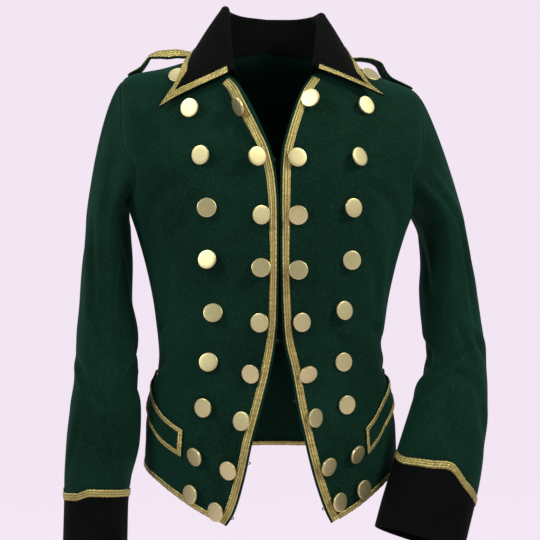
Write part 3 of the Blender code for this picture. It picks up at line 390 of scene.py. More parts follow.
def shell(name, outer, normals, thick, material, ring=False, rounded=(1, 1, 1, 1), uv=None):
    # a sheet of cloth with its outer face on the grid; rounded says which edges are free:
    # first row, last row, first column, last column
    rows, columns = outer.shape[:2]
    thick = np.broadcast_to(thick, (rows, columns))[..., None]
    inner = outer - normals * thick
    if uv is None:
        closed = np.concatenate((outer, outer[:, :1]), 1) if ring else outer
        uv = np.stack((arcLength(closed, 1)[:, :columns], arcLength(outer, 0)), axis=-1)
    vertices = [outer.reshape(-1, 3), inner.reshape(-1, 3)]
    uvs = [uv.reshape(-1, 2)] * 2
    count = rows * columns
    index = np.arange(count).reshape(rows, columns)
    here = np.concatenate((index, index[:, :1]), 1) if ring else index
    quads = np.stack((here[:-1, :-1], here[1:, :-1], here[1:, 1:], here[:-1, 1:]), -1).reshape(-1, 4)
    faces = [quads, quads[:, ::-1] + count]
    edges = [(index[0], index[1], rounded[0]), (index[-1], index[-2], rounded[1])]
    if not ring:
        edges += [(index[:, 0], index[:, 1], rounded[2]), (index[:, -1], index[:, -2], rounded[3])]
    first = 2 * count
    flat, inside = outer.reshape(-1, 3), inner.reshape(-1, 3)
    for line, behind, amount in edges:
        away = unit(flat[line] - flat[behind])
        middle = (flat[line] + inside[line]) / 2 + away * (cloth["edgeRound"] * amount)
        vertices.append(middle)
        uvs.append(uv.reshape(-1, 2)[line])
        mids = np.arange(first, first + len(line))
        first += len(line)
        if ring:
            line, mids = np.append(line, line[0]), np.append(mids, mids[0])
        for a, b in ((line, mids), (mids, line + count)):
            faces.append(np.stack((a[:-1], a[1:], b[1:], b[:-1]), -1))
    if not ring:  # close the four corners of the rounded rim
        starts = np.cumsum([2 * count, columns, columns, rows])
        ends = [(starts[0], starts[2], index[0, 0]), (starts[0] + columns - 1, starts[3], index[0, -1]),
                (starts[1], starts[2] + rows - 1, index[-1, 0]),
                (starts[1] + columns - 1, starts[3] + rows - 1, index[-1, -1])]
        faces.append([t for a, b, c in ends for t in ((a, b, c), (a, b, c + count))])
    faceList = [tuple(int(i) for i in face) for block in faces for face in block]
    return addMesh(name, np.concatenate(vertices), faceList, np.concatenate(uvs), material)


def flatSize(points, ring=False):  # the cut of a grid of cloth: width, length and area
    closed = np.concatenate((points, points[:, :1]), 1) if ring else points
    wide, high = arcLength(closed, 1)[:, -1], arcLength(closed, 0)[-1]
    across = np.cross(closed[1:, 1:] - closed[:-1, :-1], closed[1:, :-1] - closed[:-1, 1:])
    area = np.linalg.norm(across, axis=-1).sum() / 2
    return float(wide.max()), float(high.max()), float(area)


def trim(piece, nodeName):
    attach(piece, "root")
    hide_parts(nodeName)
    return piece


def declare(piece, nodeName, points, ring=False):
    trim(piece, nodeName)
    width, length, area = flatSize(points, ring)


# shared shader effects

def newGroup(name, inputs, outputs):
    group = bpy.data.node_groups.new(name, "ShaderNodeTree")
    for label, value in inputs.items():
        kind = "NodeSocketColor" if hasattr(value, "__len__") else "NodeSocketFloat"
        group.interface.new_socket(name=label, in_out="INPUT", socket_type=kind).default_value = value
    for label, kind in outputs.items():
        group.interface.new_socket(name=label, in_out="OUTPUT", socket_type="NodeSocket" + kind)
    return group, group.nodes.new("NodeGroupInput"), group.nodes.new("NodeGroupOutput")


def node(tree, kind, settings=None, **values):
    made = tree.nodes.new("ShaderNode" + kind)
    for key, value in (settings or {}).items():
        setattr(made, key, value)
    for key, value in values.items():
        socket = made.inputs[int(key[1:]) if key[1:].isdigit() and key[0] == "i" else key.replace("_", " ")]
        if isinstance(value, bpy.types.NodeSocket):
            tree.links.new(value, socket)
        else:
            socket.default_value = value
    return made


def mixColour(tree, factor, a, b, blend="MIX"):
    made = node(tree, "Mix", {"data_type": "RGBA", "blend_type": blend}, i0=factor, i6=a, i7=b)
    return made.outputs[2]


def maths(tree, operation, a, b=0.0, c=0.0):
    return node(tree, "Math", {"operation": operation}, i0=a, i1=b, i2=c).outputs[0]


def multiply(tree, a, b):
    return maths(tree, "MULTIPLY", a, b)


def multiplyAdd(tree, a, b, c):
    return maths(tree, "MULTIPLY_ADD", a, b, c)


def mapped(tree, value, low=0.0, high=1.0, start=0.0, end=1.0):  # one range of values onto another
    return node(tree, "MapRange", Value=value, i1=low, i2=high, i3=start, i4=end).outputs[0]


def cloud(tree, place, scale, detail, rough=0.5):
    return node(tree, "TexNoise", Vector=place, Scale=scale, Detail=detail, Roughness=rough).outputs["Fac"]


def objectPlace(tree):
    return node(tree, "TexCoord").outputs["Object"]


def napGroup():  # a felted or pile surface: mottled tone, fine fibres and their bump
    group, into, out = newGroup("clothNap", {
        "Base": (0.01, 0.03, 0.02, 1), "Worn": (0.02, 0.05, 0.03, 1), "Blotch": 9.0, "Fibre": 900.0,
        "Mottle": 0.5, "Lint": 0.0}, {"Color": "Color", "Rough": "Float", "Height": "Float"})
    given, place, fluffColour = into.outputs, objectPlace(group), (0.13, 0.15, 0.13, 1)
    blotch = cloud(group, place, given["Blotch"], 5.0, 0.6)
    fibre = cloud(group, place, given["Fibre"], 3.0, 0.65)
    clump = cloud(group, place, multiply(group, given["Fibre"], 0.18), 4.0, 0.7)
    soft, grain = mapped(group, blotch, 0.35, 0.70), mapped(group, clump, 0.40, 0.68)
    both = multiplyAdd(group, grain, 0.55, multiply(group, soft, 0.45))
    colour = mixColour(group, multiply(group, both, given["Mottle"]), given["Base"], given["Worn"])
    fluff = mapped(group, cloud(group, place, 520.0, 1.0), 0.74, 0.80)
    colour = mixColour(group, multiply(group, fluff, given["Lint"]), colour, fluffColour)
    height = multiplyAdd(group, clump, 0.6, multiply(group, fibre, 0.4))
    group.links.new(colour, out.inputs["Color"])
    group.links.new(mapped(group, grain, start=0.80, end=0.95), out.inputs["Rough"])
    group.links.new(height, out.inputs["Height"])
    return group


def grimeGroup():  # tarnish in spots and clouds
    group, into, out = newGroup("tarnish", {"Scale": 60.0, "Low": 0.45, "High": 0.7}, {"Mask": "Float"})
    spots = cloud(group, objectPlace(group), into.outputs["Scale"], 6.0, 0.7)
    group.links.new(mapped(group, spots, into.outputs["Low"], into.outputs["High"]), out.inputs["Mask"])
    return group


nap, tarnish = napGroup(), grimeGroup()


def newMaterial(name, roughness, metallic=0.0, sheen=None, specular=0.5):
    material = bpy.data.materials.new(name)
    material.use_nodes = True
    tree = material.node_tree
    shader = tree.nodes["Principled BSDF"]
    shader.inputs["Roughness"].default_value = roughness
    shader.inputs["Metallic"].default_value = metallic
    shader.inputs["Specular IOR Level"].default_value = specular
    if sheen:
        shader.inputs["Sheen Weight"].default_value = sheen["weight"]
        shader.inputs["Sheen Roughness"].default_value = sheen["roughness"]
        shader.inputs["Sheen Tint"].default_value = sheen["tint"]
    return material, tree, shader


def placeGroup(tree, group, **values):
    made = tree.nodes.new("ShaderNodeGroup")
    made.node_tree = group
    for key, value in values.items():
        made.inputs[key].default_value = value
    return made


def addBump(tree, shader, height, strength, distance):
    bump = node(tree, "Bump", Height=height, Strength=strength, Distance=distance)
    tree.links.new(bump.outputs["Normal"], shader.inputs["Normal"])


def napMaterial(name, look):
    material, tree, shader = newMaterial(name, 0.9, sheen=look["sheen"], specular=look["specular"])
    cover = placeGroup(tree, nap, Base=look["base"], Worn=look["worn"], Blotch=look["blotch"],
                       Fibre=look["fibre"], Mottle=look["mottle"], Lint=look["lint"])
    tree.links.new(cover.outputs["Color"], shader.inputs["Base Color"])
    tree.links.new(cover.outputs["Rough"], shader.inputs["Roughness"])
    addBump(tree, shader, cover.outputs["Height"], look["bump"], look["deep"])
    return material


woolLook = {"base": (0.0018, 0.0115, 0.0062, 1), "worn": (0.0062, 0.0340, 0.0200, 1), "blotch": 9.0,
            "fibre": 1500.0, "mottle": 1.0, "lint": 0.35, "bump": 0.9, "deep": 0.0008, "specular": 0.04,
            "sheen": {"weight": 0.10, "roughness": 0.5, "tint": (0.10, 0.60, 0.40, 1)}}
velvetLook = {"base": (0.0012, 0.0018, 0.0014, 1), "worn": (0.0036, 0.0048, 0.0038, 1), "blotch": 16.0,
              "fibre": 2200.0, "mottle": 0.8, "lint": 0.12, "bump": 0.5, "deep": 0.0005, "specular": 0.05,
              "sheen": {"weight": 0.05, "roughness": 0.25, "tint": (0.55, 0.62, 0.60, 1)}}
wool = napMaterial("bottleGreenWool", woolLook)
velvet = napMaterial("blackVelvet", velvetLook)


def laceMaterial():
    look = {"bright": (0.62, 0.53, 0.19, 1), "shadedThread": (0.30, 0.235, 0.060, 1), "dull": (0.13, 0.095, 0.028, 1),
            "line": (0.085, 0.055, 0.014, 1), "picks": 1100.0, "ribs": 320.0, "dullest": 0.62}
    material, tree, shader = newMaterial("goldLace", 0.42, metallic=0.75)
    uv = node(tree, "UVMap", {"uv_map": "cloth"}).outputs["UV"]
    split = node(tree, "SeparateXYZ", Vector=uv)
    picks, ribs = [maths(tree, "SINE", multiply(tree, split.outputs[way], look[count] * 2 * math.pi))
                   for way, count in (("X", "picks"), ("Y", "ribs"))]
    woven = multiplyAdd(tree, picks, 0.25, multiplyAdd(tree, ribs, 0.25, 0.5))
    speck = cloud(tree, uv, 900.0, 3.0, 0.7)
    # painted highlight: the weave's raised crowns and scattered specks get the bright gold, and the thread
    # between them a painted darker shade
    lit = multiplyAdd(tree, speck, 0.6, multiply(tree, woven, 0.5))
    colour = mixColour(tree, mapped(tree, lit, 0.30, 0.78), look["shadedThread"], look["bright"])
    # painted shade: dark lines along the grooves between the ribs
    colour = mixColour(tree, mapped(tree, ribs, -0.55, -0.95, 0.0, 0.75), colour, look["line"])
    dirt = placeGroup(tree, tarnish, Scale=70.0, Low=0.46, High=0.74)
    colour = mixColour(tree, multiply(tree, dirt.outputs["Mask"], look["dullest"]), colour, look["dull"])
    tree.links.new(colour, shader.inputs["Base Color"])
    tree.links.new(mapped(tree, lit, start=0.55, end=0.34), shader.inputs["Roughness"])
    addBump(tree, shader, multiplyAdd(tree, speck, 0.5, woven), 0.7, 0.0004)
    return material


def brassMaterial():
    look = {"bright": (0.72, 0.65, 0.35, 1), "warm": (0.54, 0.47, 0.22, 1), "dull": (0.24, 0.21, 0.11, 1),
            "dullest": 0.55}
    material, tree, shader = newMaterial("paleBrass", 0.34, metallic=0.9)
    place = objectPlace(tree)
    colour = mixColour(tree, cloud(tree, place, 38.0, 4.0, 0.6), look["warm"], look["bright"])
    spots = placeGroup(tree, tarnish, Scale=420.0, Low=0.58, High=0.74)
    colour = mixColour(tree, multiply(tree, spots.outputs["Mask"], look["dullest"]), colour, look["dull"])
    tree.links.new(colour, shader.inputs["Base Color"])
    hair = cloud(tree, place, 1600.0, 4.0, 0.8)
    tree.links.new(mapped(tree, hair, start=0.34, end=0.52), shader.inputs["Roughness"])
    addBump(tree, shader, hair, 0.25, 0.0002)
    return material


def wireMaterial():
    look = {"black": (0.006, 0.006, 0.006, 1), "worn": (0.035, 0.033, 0.030, 1)}
    material, tree, shader = newMaterial("blackWire", 0.4, metallic=0.6)
    colour = mixColour(tree, cloud(tree, objectPlace(tree), 900.0, 3.0), look["black"], look["worn"])
    tree.links.new(colour, shader.inputs["Base Color"])
    return material


goldLace, paleBrass, blackWire = laceMaterial(), brassMaterial(), wireMaterial()
print("materials made")


# fronts and backs

def panelShares():  # finer beside the edges, where the seams roll in
    near = np.array(cut["seamColumns"]) / cut["width"]
    return np.unique(np.concatenate((even(0, 1, cut["columns"]), near, 1 - near)))


faces = {(part, side): panelPoints(side, part == "front", fineness, panelShares())
         for side in (right, left) for part in ("front", "back")}
edgeRow, sideRow = cut["edgeRows"] * fineness, cut["sideRows"] * fineness


def sewnDip(distance):
    return cloth["seamDip"] * np.exp(-(distance / cloth["seamSpread"]) ** 2)


def dressPanel(part, side):
    points, normals = faces[part, side]
    outer = points.copy()
    across, up = arcLength(points, 1), arcLength(points, 0)
    dip = sewnDip(across[:, -1:] - across) + sewnDip(up[-1:] - up)
    seams = [(np.s_[:, -1], np.s_[:, -2]), (np.s_[-1, :], np.s_[-2, :]),
             (np.s_[edgeRow:, 0], np.s_[edgeRow:, 1])]
    if part == "back":
        dip += sewnDip(across)
        seams.append((np.s_[:edgeRow + 1, 0], np.s_[:edgeRow + 1, 1]))
    outer -= normals * dip[..., None]
    for line, inside in seams:
        away = seamDirection(points[line], normals[line], points[inside])
        outer[line] -= away * cloth["seamGap"] / 2
    free = (1, 0, 1 if part == "front" else 0, 0)
    name = f"{part}_{sideNames[side]}"
    piece = shell("cloth_" + name, outer, normals, cloth["wool"], wool, rounded=free)
    return piece, name, outer


panels = {(part, side): dressPanel(part, side) for part in ("front", "back") for side in (right, left)}
print("fronts and backs made")


# lace: a woven braid with two ribs, a crinkle and small loops along its edges

def layLace(name, nodeName, low, normals, style, ring=False):
    # low is a grid on what carries the lace, along it by rows and across it by columns
    rows = len(low)
    closed = np.concatenate((low, low[:1])) if ring else low
    along = arcLength(closed, 0)[:rows].mean(axis=1)[:, None]
    across = arcLength(low, 1)
    t = across / across[:, -1:]
    ribs = style["rib"] * np.abs(np.sin(math.pi * t * style["ribs"])) ** 0.8
    turns = along * style["pitch"]
    wave = style["crinkle"] * (np.sin(turns + 3.1 * t) + 0.6 * np.sin(turns * 0.43 + 5 * t))
    edge = np.maximum(np.exp(-(t / lace["edge"]) ** 2), np.exp(-((1 - t) / lace["edge"]) ** 2))
    lift = lace["gap"] + lace["thick"] + ribs + wave * (1 - 0.4 * edge)
    lift = lift - lace["edgeDrop"] * lace["thick"] * edge
    jag = np.random.default_rng(rows).uniform(*lace["loops"], (rows, 2))  # uneven loops on both edges
    jag = np.where(t < 0.5, jag[:, :1], jag[:, 1:])
    picot = style["picot"] * (0.5 + 0.5 * np.sin(along * style["picotPitch"])) * jag
    aside = unit(low[:, -1:] - low[:, :1])
    spread = aside * (picot * (t - 0.5) * 2 * np.abs(2 * t - 1) ** 3)[..., None]
    outer = low + normals * lift[..., None] + spread
    thick = np.maximum(lift - lace["gap"] * 0.4, lace["least"])
    uv = np.stack((along + 0 * t, across), axis=-1)
    if ring:  # the shell closes round its columns
        outer, normals, thick, uv = [np.swapaxes(x, 0, 1) for x in (outer, normals, thick, uv)]
    piece = shell(name, outer, normals, thick, goldLace, ring=ring, rounded=lace["rounded"], uv=uv)
    return trim(piece, nodeName)


plainStyle = {"rib": 0.00045, "ribs": 2, "crinkle": 0.00010, "pitch": 900, "picot": 0.00025, "picotPitch": 2400}
crinkled = {"rib": 0.00030, "ribs": 3, "crinkle": 0.00022, "pitch": 1250, "picot": 0.0009, "picotPitch": 2100}
hemStyle = dict(crinkled, ribs=4, rib=0.0002, picot=0.0003)
hemLace = {"strips": 6, "columns": 300, "start": 0.0008, "turns": (30, 60, 90, 120, 150)}


def sampleRows(grid, places):
    low = np.clip(places.astype(int), 0, len(grid) - 2)
    t = (places - low)[:, None, None]
    return grid[low] * (1 - t) + grid[low + 1] * t


def sampleGrid(grid, row, column):
    r = np.clip(row.astype(int), 0, grid.shape[0] - 2)
    c = np.clip(column.astype(int), 0, grid.shape[1] - 2)
    t, u = (row - r)[..., None], (column - c)[..., None]
    return (grid[r, c] * (1 - t) * (1 - u) + grid[r + 1, c] * t * (1 - u)
            + grid[r, c + 1] * (1 - t) * u + grid[r + 1, c + 1] * t * u)


def evenRows(points, normals, run):  # even steps along the lace, so that its weave keeps its scale
    places = np.interp(even(0, run[-1], int(run[-1] / lace["step"])), run, np.arange(len(run)))
    return sampleRows(points, places), unit(sampleRows(normals, places))


def laceInset(side, height):
    return rightRoll(height)[..., 1] if side == right else lace["inset"] + 0 * height


def makeEdgeLace(side):
    times = lace["rowTimes"]
    inner, outer, _ = boundaries(side, True, times)
    rows = np.s_[:cut["edgeRows"] * times + 1]
    length = np.linalg.norm(outer - inner, axis=1)[rows]
    inset = laceInset(side, inner[rows, 2])
    shares = (inset[:, None] + lace["width"] * even(0, 1, lace["strips"])) / length[:, None]
    points, normals = panelPoints(side, True, times, shares, rows)
    points, normals = evenRows(points, normals, arcLength(points, 0).mean(axis=1))
    name = "edge_lace_" + sideNames[side]
    return layLace(name + "_front", name, points, normals, plainStyle), shares[0, -1]


def makeHemLace(side, firstShare):
    # folded round the hem: down the face, round the edge and up the inside
    faceUp = lace["hem"] * even(0, 1, hemLace["strips"])[::-1]
    blocks = []
    for isFront in (True, False):
        shares = even(firstShare if isFront else hemLace["start"], 1, hemLace["columns"])[None, :]
        points, normals = panelPoints(side, isFront, fineness, shares, np.s_[:2 * fineness + 1])
        up = arcLength(points, 0)
        columns = []
        for column in range(points.shape[1]):
            face = np.stack([np.interp(faceUp, up[:, column], points[:, column, a]) for a in range(3)], -1)
            columns.append((face, normals[0, column]))
        blocks.append(columns if isFront else columns[::-1])
    grid, facing = [], []
    for face, normal in blocks[0] + blocks[1][1:]:
        down = unit(face[-1] - face[0])
        outward = [math.cos(a) * normal + math.sin(a) * down for a in np.radians(hemLace["turns"])]
        centre = face[-1] - normal * cloth["wool"] / 2
        around = [centre + (cloth["wool"] / 2 + lace["gap"]) * way for way in outward]
        behind = face[::-1][1:] - normal * (cloth["wool"] + 2 * lace["gap"])
        grid.append(np.vstack((face, around, behind)))
        facing.append(np.array([normal] * len(face) + outward + [-normal] * len(behind)))
    low, normals = np.array(grid), unit(np.array(facing))
    low, normals = evenRows(low, normals, arcLength(low, 0)[:, 0])
    name = "edge_lace_" + sideNames[side]
    return layLace(name + "_hem", name, low, normals, hemStyle)


edgeLaces = {}
for side in (right, left):
    frontLace, share = makeEdgeLace(side)
    edgeLaces[side] = [frontLace, makeHemLace(side, share)]
print("edge and hem lace made")


# sleeves and cuffs

sleeveCut = {
    right: (  # height, out, forward, half across, half deep, crease
        (-0.720, 0.2405, 0.052, 0.0430, 0.0420, 0.0000), (-0.620, 0.2390, 0.046, 0.0425, 0.0430, 0.0000),
        (-0.578, 0.2370, 0.041, 0.0445, 0.0450, 0.0000), (-0.527, 0.2300, 0.034, 0.0490, 0.0480, 0.0005),
        (-0.485, 0.2275, 0.028, 0.0475, 0.0500, 0.0010), (-0.445, 0.2280, 0.022, 0.0420, 0.0545, 0.0015),
        (-0.395, 0.2260, 0.014, 0.0420, 0.0570, 0.0020), (-0.340, 0.2280, 0.006, 0.0360, 0.0630, 0.0035),
        (-0.290, 0.2265, 0.000, 0.0345, 0.0660, 0.0045), (-0.245, 0.2255, -0.005, 0.0305, 0.0690, 0.0040),
        (-0.200, 0.2240, -0.008, 0.0280, 0.0700, 0.0030)),
    left: (
        (-0.720, 0.1640, 0.126, 0.0600, 0.0430, 0.0000), (-0.630, 0.1945, 0.100, 0.0605, 0.0450, 0.0000),
        (-0.572, 0.2150, 0.084, 0.0590, 0.0460, 0.0000), (-0.509, 0.2350, 0.062, 0.0535, 0.0490, 0.0000),
        (-0.474, 0.2455, 0.047, 0.0490, 0.0510, 0.0000), (-0.441, 0.2545, 0.031, 0.0430, 0.0540, 0.0005),
        (-0.416, 0.2575, 0.022, 0.0395, 0.0560, 0.0025), (-0.374, 0.2535, 0.012, 0.0400, 0.0590, 0.0045),
        (-0.330, 0.2500, 0.006, 0.0385, 0.0620, 0.0050), (-0.290, 0.2485, 0.001, 0.0335, 0.0650, 0.0050),
        (-0.245, 0.2435, -0.004, 0.0300, 0.0690, 0.0040), (-0.200, 0.2380, -0.008, 0.0280, 0.0700, 0.0030)),
    "crease": {"angle": 72, "width": 20, "peak": 1.6, "dip": 0.6, "spread": 2.5},
    "cap": {"rise": 0.003, "low": 0.008, "high": 0.115, "swing": 0.020, "pull": 0.78, "foot": -0.245},
    "cuffSeam": {right: -0.593, left: -0.570}, "cuffFoot": {right: -0.684, left: -0.655},
    "cuffWave": (  # angle, right, left
        (0, 0.000, 0.010), (36, 0.000, 0.000), (72, 0.000, 0.002), (95, 0.000, 0.006), (125, -0.006, -0.008),
        (165, -0.007, -0.018), (180, -0.002, -0.019), (270, 0.000, -0.006), (360, 0.000, 0.010)),
    "reach": 0.005, "soften": 12, "fade": 0.03, "waveFrom": 0.7, "laceColumns": 420, "laceProud": 0.0001,
}
sleeveCreases = {  # turn round the arm, height, lean, half length, half width, depth, bow
    right: (
        (118, -0.300, 8, 0.070, 0.0090, 0.0022, 2), (60, -0.350, -10, 0.060, 0.0085, 0.0024, -2),
        (96, -0.405, 16, 0.050, 0.0075, 0.0020, 3), (140, -0.432, 52, 0.028, 0.0070, 0.0024, 4),
        (48, -0.446, -48, 0.030, 0.0075, 0.0026, -4), (102, -0.470, 64, 0.024, 0.0060, 0.0016, 3),
        (72, -0.540, 8, 0.045, 0.0090, 0.0018, 0), (132, -0.520, -12, 0.040, 0.0080, 0.0014, 2),
        (20, -0.300, 24, 0.050, 0.0090, 0.0020, 0), (8, -0.410, 58, 0.030, 0.0070, 0.0028, 3),
        (350, -0.455, -56, 0.030, 0.0070, 0.0026, -3), (300, -0.430, 40, 0.036, 0.0080, 0.0018, 0),
        (250, -0.330, 6, 0.070, 0.0110, 0.0020, 0), (215, -0.440, -20, 0.050, 0.0100, 0.0022, 2),
        (270, -0.530, 4, 0.050, 0.0100, 0.0016, 0), (165, -0.250, -18, 0.045, 0.0090, 0.0016, 0),
        (98, -0.205, 14, 0.040, 0.0080, 0.0018, 0), (230, -0.200, -16, 0.040, 0.0090, 0.0016, 0)),
    left: (
        (112, -0.290, -6, 0.075, 0.0090, 0.0024, -2), (56, -0.335, 10, 0.060, 0.0085, 0.0026, 2),
        (86, -0.395, -22, 0.046, 0.0075, 0.0026, 3), (128, -0.405, -50, 0.034, 0.0070, 0.0028, -4),
        (60, -0.428, 56, 0.032, 0.0070, 0.0030, 4), (100, -0.446, -66, 0.030, 0.0065, 0.0026, -3),
        (44, -0.462, 50, 0.030, 0.0070, 0.0026, 3), (80, -0.500, -14, 0.040, 0.0085, 0.0020, 0),
        (140, -0.500, -30, 0.040, 0.0085, 0.0018, 2), (16, -0.300, -22, 0.050, 0.0090, 0.0020, 0),
        (6, -0.415, -60, 0.030, 0.0070, 0.0030, -3), (352, -0.450, 54, 0.030, 0.0070, 0.0028, 3),
        (295, -0.425, -38, 0.036, 0.0080, 0.0020, 0), (248, -0.320, -8, 0.070, 0.0110, 0.0020, 0),
        (218, -0.435, 24, 0.050, 0.0100, 0.0022, -2), (272, -0.515, -6, 0.050, 0.0100, 0.0016, 0),
        (162, -0.245, 16, 0.045, 0.0090, 0.0018, 0), (95, -0.200, -12, 0.042, 0.0080, 0.0020, 0),
        (232, -0.198, 18, 0.040, 0.0090, 0.0016, 0)),
}
sleevePress = {
    right: {"turn": 80, "rise": 0.0022, "wide": 0.010, "foot": (-0.430, -0.370), "head": (-0.190, -0.120)},
    left: {"turn": 104, "rise": 0.0040, "wide": 0.011, "foot": (-0.425, -0.370), "head": (-0.170, -0.100)},
}
sleeveRows = {  # shares of the way down the sleeve's cap, its tube and the cuff
    "cap": np.concatenate(((0.0, 0.012, 0.03), even(0.06, 0.965, 28))),
    "tube": np.concatenate((even(0, 0.985, 104), (0.991, 0.996, 1.0)))[:, None],
    "cuff": np.concatenate(((0.0, 0.012, 0.028), even(0.05, 0.97, 26), (0.985, 1.0)))[:, None],
}
armColumns = 2 * cut["armRows"] * fineness


def roundAngles(count):
    return np.arange(count) * 360 / count


armAngles = roundAngles(armColumns)


def armholeLoop(side):
    frontPoints, frontNormals = faces["front", side]
    backPoints, backNormals = faces["back", side]
    line = np.concatenate((frontPoints[sideRow:, -1], backPoints[-2:sideRow:-1, -1]))
    normals = np.concatenate((frontNormals[sideRow:, -1], backNormals[-2:sideRow:-1, -1]))
    inside = np.concatenate((frontPoints[sideRow:, -2], backPoints[-2:sideRow:-1, -2]))
    return line, normals, seamDirection(line, normals, inside, closed=True)


def sleeveSurface(side, heights, angles=armAngles):
    read = readTable(sleeveCut[side])
    angle = np.radians(np.broadcast_to(angles, heights.shape))
    out, forward, across, deep, fold = np.moveaxis(read(heights), -1, 0)
    step = np.full(heights.shape, sleeveCut["reach"])
    rise = read(heights + step) - read(heights - step)
    axis = unit(np.stack((side * rise[..., 0], -rise[..., 1], 2 * step), axis=-1))
    centre = np.stack((side * out, -forward, heights), axis=-1)
    outward = unit(np.array((side, 0.0, 0.0)) - axis * (axis[..., :1] * side))
    ahead = np.cross(axis, outward) * side
    ahead = ahead * np.sign(-ahead[..., 1:2])
    crease = sleeveCut["crease"]
    turn = (np.degrees(angle) - crease["angle"]) / crease["width"]
    dip = crease["dip"] * np.exp(-(turn / crease["spread"]) ** 2)
    swell = fold * (crease["peak"] * np.exp(-turn ** 2) - dip)
    sideways, forwards = -np.cos(angle) * (across + swell), np.sin(angle) * (deep + swell)
    return centre + outward * sideways[..., None] + ahead * forwards[..., None], axis


def cuffSeam(side, angles=armAngles):
    wave = readTable(sleeveCut["cuffWave"])(angles)
    return sleeveCut["cuffSeam"][side] + wave[:, sideColumn[side]]


def sleeveLift(side, outer):
    press, height, form = sleevePress[side], outer[..., 2], creaseForms["sleeve"]
    high = smoothStep(*press["foot"], height) * (1 - smoothStep(*press["head"], height))
    away = np.abs(turnAway(armAngles, press["turn"])) * form["radius"]
    ridge = press["rise"] * np.exp(-away / press["wide"]) * high  # the sharp front crease
    return creaseLift(armAngles, height, sleeveCreases[side], form) + ridge


def softened(vectors, reach):  # a running average round a loop
    weights = [1 + math.cos(math.pi * k / (reach + 1)) for k in range(-reach, reach + 1)]
    return unit(sum(np.roll(vectors, k - reach, axis=0) * w for k, w in enumerate(weights)))


def makeSleeve(side):
    line, seamNormals, away = armholeLoop(side)
    cap = sleeveCut["cap"]
    outward, lifted = [softened(ways, sleeveCut["soften"]) for ways in (away, seamNormals)]
    seam = line + away * cloth["seamGap"] / 2 - seamNormals * cloth["seamDip"]
    start = line + outward * cap["rise"]
    lowness = (1 + np.cos(np.radians(armAngles))) / 2
    spring = cap["low"] + (cap["high"] - cap["low"]) * (1 - lowness) ** 2
    firstPull = outward * spring[:, None] + lifted * (cap["swing"] * lowness ** 2)[:, None]
    bicep, axis = sleeveSurface(side, np.full(armColumns, cap["foot"]))
    lastPull = -axis * (cap["pull"] * np.linalg.norm(bicep - start, axis=1))[:, None]
    crown = [seam] + [hermite(start, firstPull, bicep, lastPull, t) for t in sleeveRows["cap"]]
    foot = cuffSeam(side) + cloth["seamGap"] / 2
    t, fade = sleeveRows["tube"], sleeveCut["fade"]
    waved = smoothStep(sleeveCut["waveFrom"], 1.0, t)
    heights = cap["foot"] + (foot.mean() - cap["foot"]) * t + (foot - foot.mean()) * waved
    tube, _ = sleeveSurface(side, heights)
    outer = np.concatenate((np.array(crown), tube))
    normals = gridNormals(outer, ring=True) * side
    lift = sleeveLift(side, outer)
    down = arcLength(outer, 0)
    lift = lift * smoothStep(0.0, fade, down) * smoothStep(0.0, fade, down[-1:] - down)
    lift = lift - sewnDip(down[-1:] - down)
    outer = outer + normals * lift[..., None]
    normals = gridNormals(outer, ring=True) * side
    normals[0] = seamNormals
    name = "cloth_sleeve_" + sideNames[side]
    return shell(name, outer, normals, cloth["wool"], wool, ring=True, rounded=(0, 0, 0, 0)), outer


cuffCreases = {
    right: ((80, -0.640, 70, 0.030, 0.0080, 0.0010, 2), (120, -0.655, 10, 0.030, 0.0090, 0.0012, 0),
            (250, -0.640, -14, 0.040, 0.0100, 0.0012, 0), (20, -0.650, 20, 0.030, 0.0090, 0.0014, 0)),
    left: ((70, -0.620, 24, 0.030, 0.0090, 0.0014, 2), (120, -0.632, -20, 0.034, 0.0090, 0.0014, 0),
           (250, -0.620, 16, 0.040, 0.0100, 0.0012, 0), (30, -0.610, -24, 0.030, 0.0080, 0.0012, 0)),
}


def cuffSurface(side, heights, angles=armAngles):
    outer, _ = sleeveSurface(side, heights, angles)
    normals = gridNormals(outer, ring=True) * side
    lift = creaseLift(angles, heights, cuffCreases[side], creaseForms["cuff"])
    return outer + normals * lift[..., None], normals


def makeCuff(side):
    top = cuffSeam(side) - cloth["seamGap"] / 2
    foot = np.full_like(top, sleeveCut["cuffFoot"][side])
    t = sleeveRows["cuff"]
    outer, normals = cuffSurface(side, top * (1 - t) + foot * t)
    outer = outer - normals * sewnDip(arcLength(outer, 0))[..., None]
    name = sideNames[side]
    piece = shell("cloth_cuff_" + name, outer, normals, cloth["velvet"], velvet, ring=True, rounded=(0, 1, 0, 0))
    angles = roundAngles(sleeveCut["laceColumns"])
    seamTop = cuffSeam(side, angles) - cloth["seamGap"]
    band = even(0, 1, lace["strips"])[:, None]
    low, facing = cuffSurface(side, seamTop - lace["cuff"] * band, angles)
    low, facing = [np.swapaxes(grid, 0, 1) for grid in (low + facing * sleeveCut["laceProud"], facing)]
    braid = layLace("cuff_lace_braid_" + name, "cuff_lace_" + name, low, facing, crinkled, ring=True)
    return piece, outer, braid


sleeves = {side: makeSleeve(side) for side in (right, left)}
cuffs = {side: makeCuff(side) for side in (right, left)}
print("sleeves and cuffs made")


# collar

